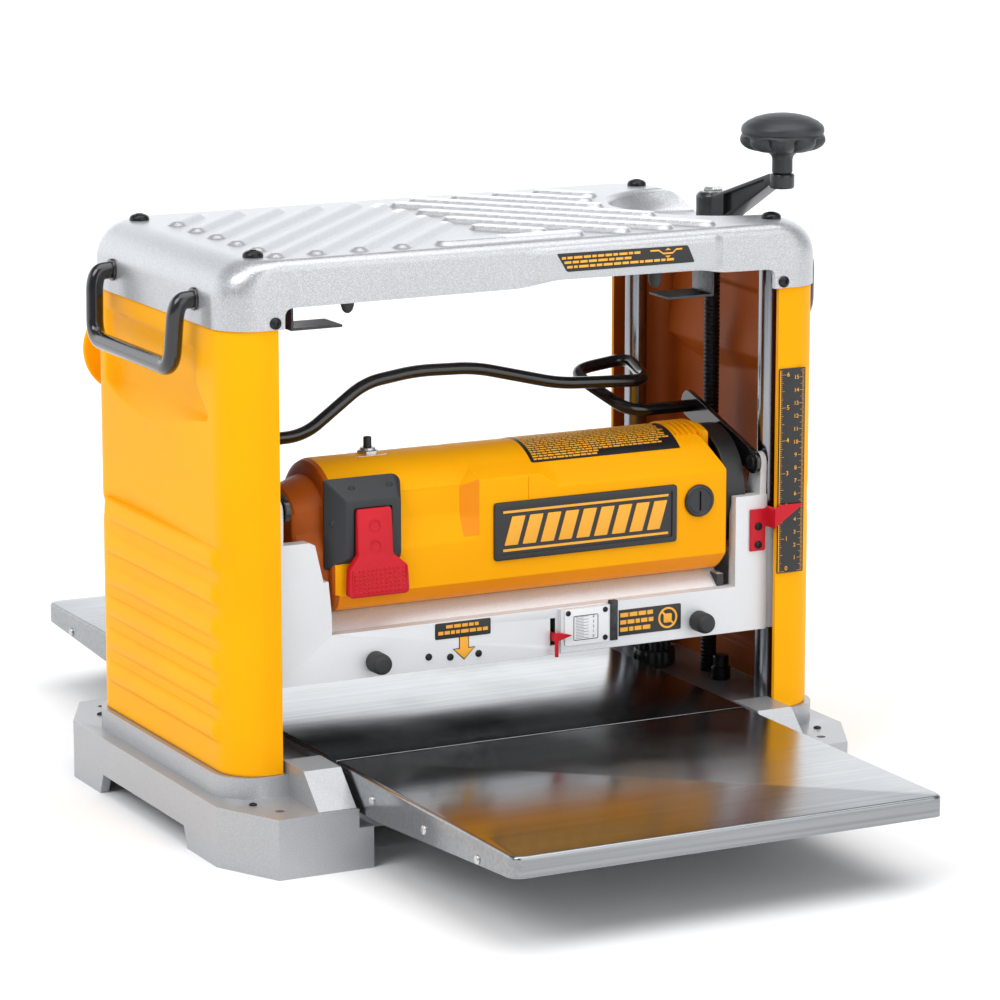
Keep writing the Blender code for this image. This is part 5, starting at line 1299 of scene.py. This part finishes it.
def make_screws_below():
    """Lead screws: r = R - depth |2p - 1|^1.5, with p the phase z / pitch - a / turn, faded
    out at both ends, and the chain with its wheels."""
    for sx, side, top in ((-1, "left", 0.4098), (1, "right", 0.4186)):
        z0 = 0.0334
        z = np.linspace(z0, top, 700)
        a = np.arange(28) / 28 * TAU
        pitch = 0.0032
        phase = (z[:, None] / pitch - a[None] / TAU) % 1.0
        fade = ease((z - z0) / 0.004) * ease((top - z) / 0.008)
        r = 0.0065 - 0.0009 * np.abs(2 * phase - 1) ** 1.5 * fade[:, None]
        grid = np.stack([sx * LEAD_X + r * np.cos(a), r * np.sin(a),
            np.broadcast_to(z[:, None], r.shape)], -1)
        body = "crank" if sx > 0 else "left_screw"
        node = f"lead_screw_{side}"
        fit(skin(node + "_thread", grid, angle=60), BLUED, body, node, node)
        keep(f"sprocket_{side}", PLATED, body, 0.0004, 1)
    keep("lift_chain", BLUED, "frame", 0.0006)


def make_turret():
    """Depth stop wheel: its rim is notched where |cos 6a| is near 1. Six stops of rising
    height stand on it, beside the post."""
    x, y, low = 0.1960, 0.0380, 0.0617
    def grip(a, h):
        band = ease((h - low - 0.0010) / 0.0010) * ease((low + 0.0115 - h) / 0.0010)
        return 1 - 0.075 * band * np.clip(np.abs(np.cos(6 * a)) * 2.2 - 1.2, 0, 1)
    profile = bends([(0, low), (0.0165, low), (0.0170, low + 0.0040), (0.0170, low + 0.0090),
        (0.0160, low + 0.0120), (0, low + 0.0120)], 0.0007, 5)
    wheel = lathe("depth_wheel", profile, (x, y, 0), "z", 144, grip, angle=45)
    fit(wheel, BEZEL, "turret", "depth_stop_turret", "depth_stop_turret")
    for n in range(6):
        a = math.radians(60 * n)
        top = low + 0.0135 + 0.0014 * n
        stop = turned(f"depth_step_{n}", [(0, low + 0.0100), (0.0040, low + 0.0100),
            (0.0040, top - 0.0004), (0.0034, top), (0, top)], (x + 0.0105 * math.cos(a), y +
            0.0105 * math.sin(a), 0), "z", 0.0003, 20)
        fit(stop, BEZEL, "turret", "depth_stop_turret")
    spindle = turned("depth_spindle", bar_ends(0.0039, 0.0452, 0.0630), (x, y, 0), "z", 0.0004, 24)
    fit(spindle, PLATED, "turret", "depth_stop_turret")
    post = turned("stop_post_shape", [(0, 0.0610), (0.0078, 0.0610), (0.0078, 0.0700),
        (0.0062, 0.0715), (0.0062, 0.0785), (0.0056, 0.0799), (0, 0.0800)], (0.2180, -0.0300, 0),
        "z", 0.0004, 32)
    fit(post, BLUED, "frame", "stop_post", "stop_post")


# ------------------------------------------------------------ base and bed
def make_base():
    """Base casting, the polished bed and a screw near each corner."""
    keep("base_casting", BASE, "frame", 0.0016, 3)
    bed = plate("bed_sheet", rounded_box(BED_X, 0.1459, 0.0008, 3), 0.0666, BED_Z, "z", 0.0006, 3)
    fit(bed, MIRROR, "frame", "bed_plate", "bed_plate")
    for side, sx, end, sy in CORNERS:
        screw_head(f"deck_screw_{side}_{end}", (sx * 0.2372, sy * 0.1454, 0.0452), "z", 0.0030,
            0.0015, BLUED, "frame", "base_casting")


BED_X, BED_Z = 0.1711, 0.0702
LEAF_IN, LEAF_OUT, LEAF_T = 0.1472, 0.4265, 0.0024


def make_leaf(node, side):
    """Sheet leaf: a plan with round outer corners and rolled edges, kept where a tapered
    side view covers it, then hollowed from below."""
    def plan(inset):
        far, near = LEAF_OUT - inset, LEAF_IN - (0.010 if inset else 0.0)
        half = BED_X - inset
        return bends([(-half, side * near), (half, side * near), (half, side * far),
            (-half, side * far)], (0.0004, 0.0004, 0.0100, 0.0100), 9, closed=True)

    leaf = plate(node + "_shape", plan(0.0), 0.0300, BED_Z, "z", 0.0024, 6)
    view = [(0.1400, 0.0800), (0.4300, 0.0800), (0.4300, 0.0552), (0.4120, 0.0540),
        (0.2160, 0.0412), (0.1720, 0.0412), (0.1472, 0.0617), (0.1400, 0.0617)]
    flank = plate("flank", [(side * y, z) for y, z in view], -0.2, 0.2, "x", 0.0)
    leaf = carve(leaf, [flank], "INTERSECT")
    return carve(leaf, [plate("under", plan(LEAF_T), 0.0200, BED_Z - LEAF_T, "z", 0.0008, 3)])


def make_tables():
    """Folding tables: sheet with a rounded front lip and rivets along the side flanges."""
    for node, side, body in (("infeed_table", -1, "infeed_leaf"),
            ("outfeed_table", 1, "outfeed_leaf")):
        fit(make_leaf(node, side), MIRROR, body, node, node)
        for end, sx in SIDES.items():
            root, crown = sx * (BED_X - 0.0006), sx * (BED_X + 0.0016)
            lip, tip = (0.0004, 0.0026) if sx > 0 else (0.0006, 0.0024)
            ends = [(0, root), (0.0036, root), (0.0034, crown - sx * lip), (tip, crown),
                (0, crown)]
            for n, y in enumerate((0.2060, 0.2900, 0.3720)):
                rivet = turned(f"{node}_rivet_{end}_{n}", ends, (0, side * y, 0.0550), "x", 0.0004,
                    24)
                fit(rivet, PLATED, body, node)


def make_wrap():
    """Round cord wrap: a narrow waist under a wide domed flange."""
    wrap = turned("cord_wrap_shape", [(0, 0.1313), (0.0200, 0.1313), (0.0200, 0.1455),
        (0.0352, 0.1475), (0.0360, 0.1490), (0.0356, 0.1520), (0.0300, 0.1545), (0.0200, 0.1550),
        (0.0180, 0.1535), (0, 0.1535)], (-0.2080, 0, 0.3330), "y", 0.0016, 64)
    fit(wrap, YELLOW, "frame", "cord_wrap", "cord_wrap")


def make_cover_small():
    """Leg screws, the label on the front, and the pins under the cover's edge."""
    for side, sx, end, sy in CORNERS:
        screw_head(f"leg_screw_{side}_{end}", (sx * 0.2096, sy * COVER_Y, 0.3922), "y", 0.0044,
            0.0028, BLUED, "frame", "top_cover", sy, "hex")
    for side, x in (("left", -0.1485), ("right", 0.1040)):
        pin = turned(f"cover_bumper_{side}", [(0, 0.4140), (0.0052, 0.4140), (0.0050, 0.4000),
            (0.0036, 0.3956), (0.0014, 0.3938), (0, 0.3936)], (x, -0.1225, 0), "z", 0.0014, 32)
        fit(pin, RUBBER, "frame", "top_cover")
    y = -COVER_Y - 0.0021
    outline = bends([(0.0235, 0.4130), (0.1310, 0.4130), (0.1250, 0.4260), (0.0150, 0.4270)],
        0.0015, 4, closed=True)
    fit(plate("cover_label", outline, y - 0.0004, y + 0.0004, "y", 0.0001), LABEL, "frame",
        "top_cover")
    rng = np.random.default_rng(3)
    pieces = []
    for start, z, end in ((0.0190, 0.4234, 0.0860), (0.0212, 0.4200, 0.0770),
            (0.0234, 0.4165, 0.1130)):
        pieces += word_row(rng, start, end, z - 0.0009, z + 0.0009, (0.0030, 0.0080), 0.0012)
    bars("cover_label_bars", pieces, y - 0.00055, y - 0.0002, "y", INK, "frame", "top_cover")
    path = np.array([(0.0930, 0.4238), (0.1000, 0.4238), (0.1040, 0.4212), (0.1120, 0.4212),
        (0.1150, 0.4238), (0.1200, 0.4238)])
    upper = np.vstack([path + [0, 0.0006], (path - [0, 0.0006])[::-1]])
    fit(plate("cover_label_line", upper, y - 0.00055, y - 0.0002, "y", 0.0001), INK, "frame",
        "top_cover")
    for n, (z, up) in enumerate(((0.4244, 1), (0.4186, -1))):
        tip = [(0.1055, z - 0.0008 * up), (0.1105, z - 0.0008 * up), (0.1080, z + 0.0008 * up)]
        fit(plate(f"cover_label_tip_{n}", tip, y - 0.00055, y - 0.0002, "y", 0.00005), INK,
            "frame", "top_cover")


# ------------------------------------------------------------------ lock bar
def make_lock_bar():
    """Bent bar: one ring carried along a path of straight runs and round bends."""
    x = 0.1940
    corners = [(-x, -0.0140, 0.2830), (-0.1330, -0.0120, 0.2840), (-0.0800, -0.0060, 0.3185),
        (-0.0350, -0.0020, 0.3235), (0.0160, 0.0000, 0.3215), (0.0860, -0.0060, 0.3045),
        (0.1620, -0.0080, 0.3010), (0.1720, 0.0420, 0.3100), (0.1270, 0.0400, 0.3050),
        (0.1200, 0.0260, 0.3010), (0.1430, -0.0140, 0.2790), (x, -0.0140, 0.2790)]
    bar = tube_along("lock_bar_shape", bends(corners, 0.0150, 14), LOCK_BAR_R, 24)
    fit(bar, GLOSS, "lock", "lock_bar", "lock_bar")
    for side, sx in SIDES.items():
        node = f"lock_arm_{side}"
        keep(node, GLOSS, "lock", 0.0009, 3)
        low, high = sorted((sx * 0.1925, sx * 0.1960))
        cap = turned(f"lock_rivet_{side}", bar_ends(0.0052, low, high), LOCK_PIVOT, "x", 0.0008,
            28)
        fit(cap, BLUED, "lock", node)


# --------------------------------------------------------------------- stage
def make_stage():
    """Pale floor, wide soft lamps, a world that is bright low down behind and dim
    elsewhere, and the camera."""
    scene = bpy.context.scene
    mesh = bpy.data.meshes.new("floor")
    size, pale = 30.0, (0.92, 0.92, 0.92, 1)
    mesh.from_pydata([(-size, -size, 0), (size, -size, 0), (size, size, 0), (-size, size, 0)], [],
        [(0, 1, 2, 3)])
    floor = linked("floor", mesh)
    paint = bpy.data.materials.new("floor_paint")
    paint.use_nodes = True
    shader = paint.node_tree.nodes["Principled BSDF"]
    shader.inputs["Base Color"].default_value = pale
    shader.inputs["Roughness"].default_value = 0.9
    shader.inputs["Specular IOR Level"].default_value = 0.1
    mesh.materials.append(paint)
    scene.world = world = bpy.data.worlds.new("studio")
    world.use_nodes = True
    web = Web(world.node_tree)
    look = web.add("ShaderNodeTexCoord")
    split = web.add("ShaderNodeSeparateXYZ")
    web.join(look.outputs["Generated"], split.inputs[0])
    behind = web.spread(split.outputs["Y"], -0.10, 0.65)
    low = web.spread(split.outputs["Z"], 0.62, 0.30)
    sky = web.add("ShaderNodeMix", data_type="RGBA")
    web.join(web.math("MULTIPLY", behind, low), sky.inputs["Factor"])
    dim, bright = (0.27, 0.28, 0.30, 1), (1.55, 1.58, 1.62, 1)
    sky.inputs[6].default_value, sky.inputs[7].default_value = dim, bright
    web.join(sky.outputs[2], web.tree.nodes["Background"].inputs["Color"])
    web.tree.nodes["Background"].inputs["Strength"].default_value = 1.0
    suns = (("soft_over", (0.10, -0.15, 1.0), 64.0, 1.95), ("soft_left", (-0.80, -0.30, 0.85),
        34.0, 1.30), ("soft_front", (0.30, -1.0, 0.35), 60.0, 1.15))
    for name, place, spread, power in suns:
        data = bpy.data.lights.new(name, "SUN")
        data.angle, data.energy = math.radians(spread), power
        linked(name, data).rotation_euler = (-Vector(place)).to_track_quat("-Z", "Y").to_euler()
    data = bpy.data.cameras.new("camera")
    data.lens, data.sensor_width = 155.9, 36.0
    scene.camera = camera = linked("camera", data)
    camera.location = (-1.4546, -2.9013, 0.8971)
    aim = Vector((0.0375, -0.0002, 0.2163)) - camera.location
    camera.rotation_euler = aim.to_track_quat("-Z", "Y").to_euler()
    scene.view_settings.view_transform = "Standard"


for make in (make_cover, make_cover_ribs, make_front_pad, make_cover_small):
    make()
for side in SIDES.values():
    make_panel(side)
for make in (make_columns, make_handles, make_brackets, make_rule, make_crank, make_knob,
        make_housing, make_top_label, make_badge, make_brush_cap, make_switch, make_paddle,
        make_breaker, make_gauge, make_head_labels, make_head_fittings, make_rollers,
        make_screws_below, make_turret, make_base, make_tables, make_wrap, make_lock_bar,
        make_stage):
    make()
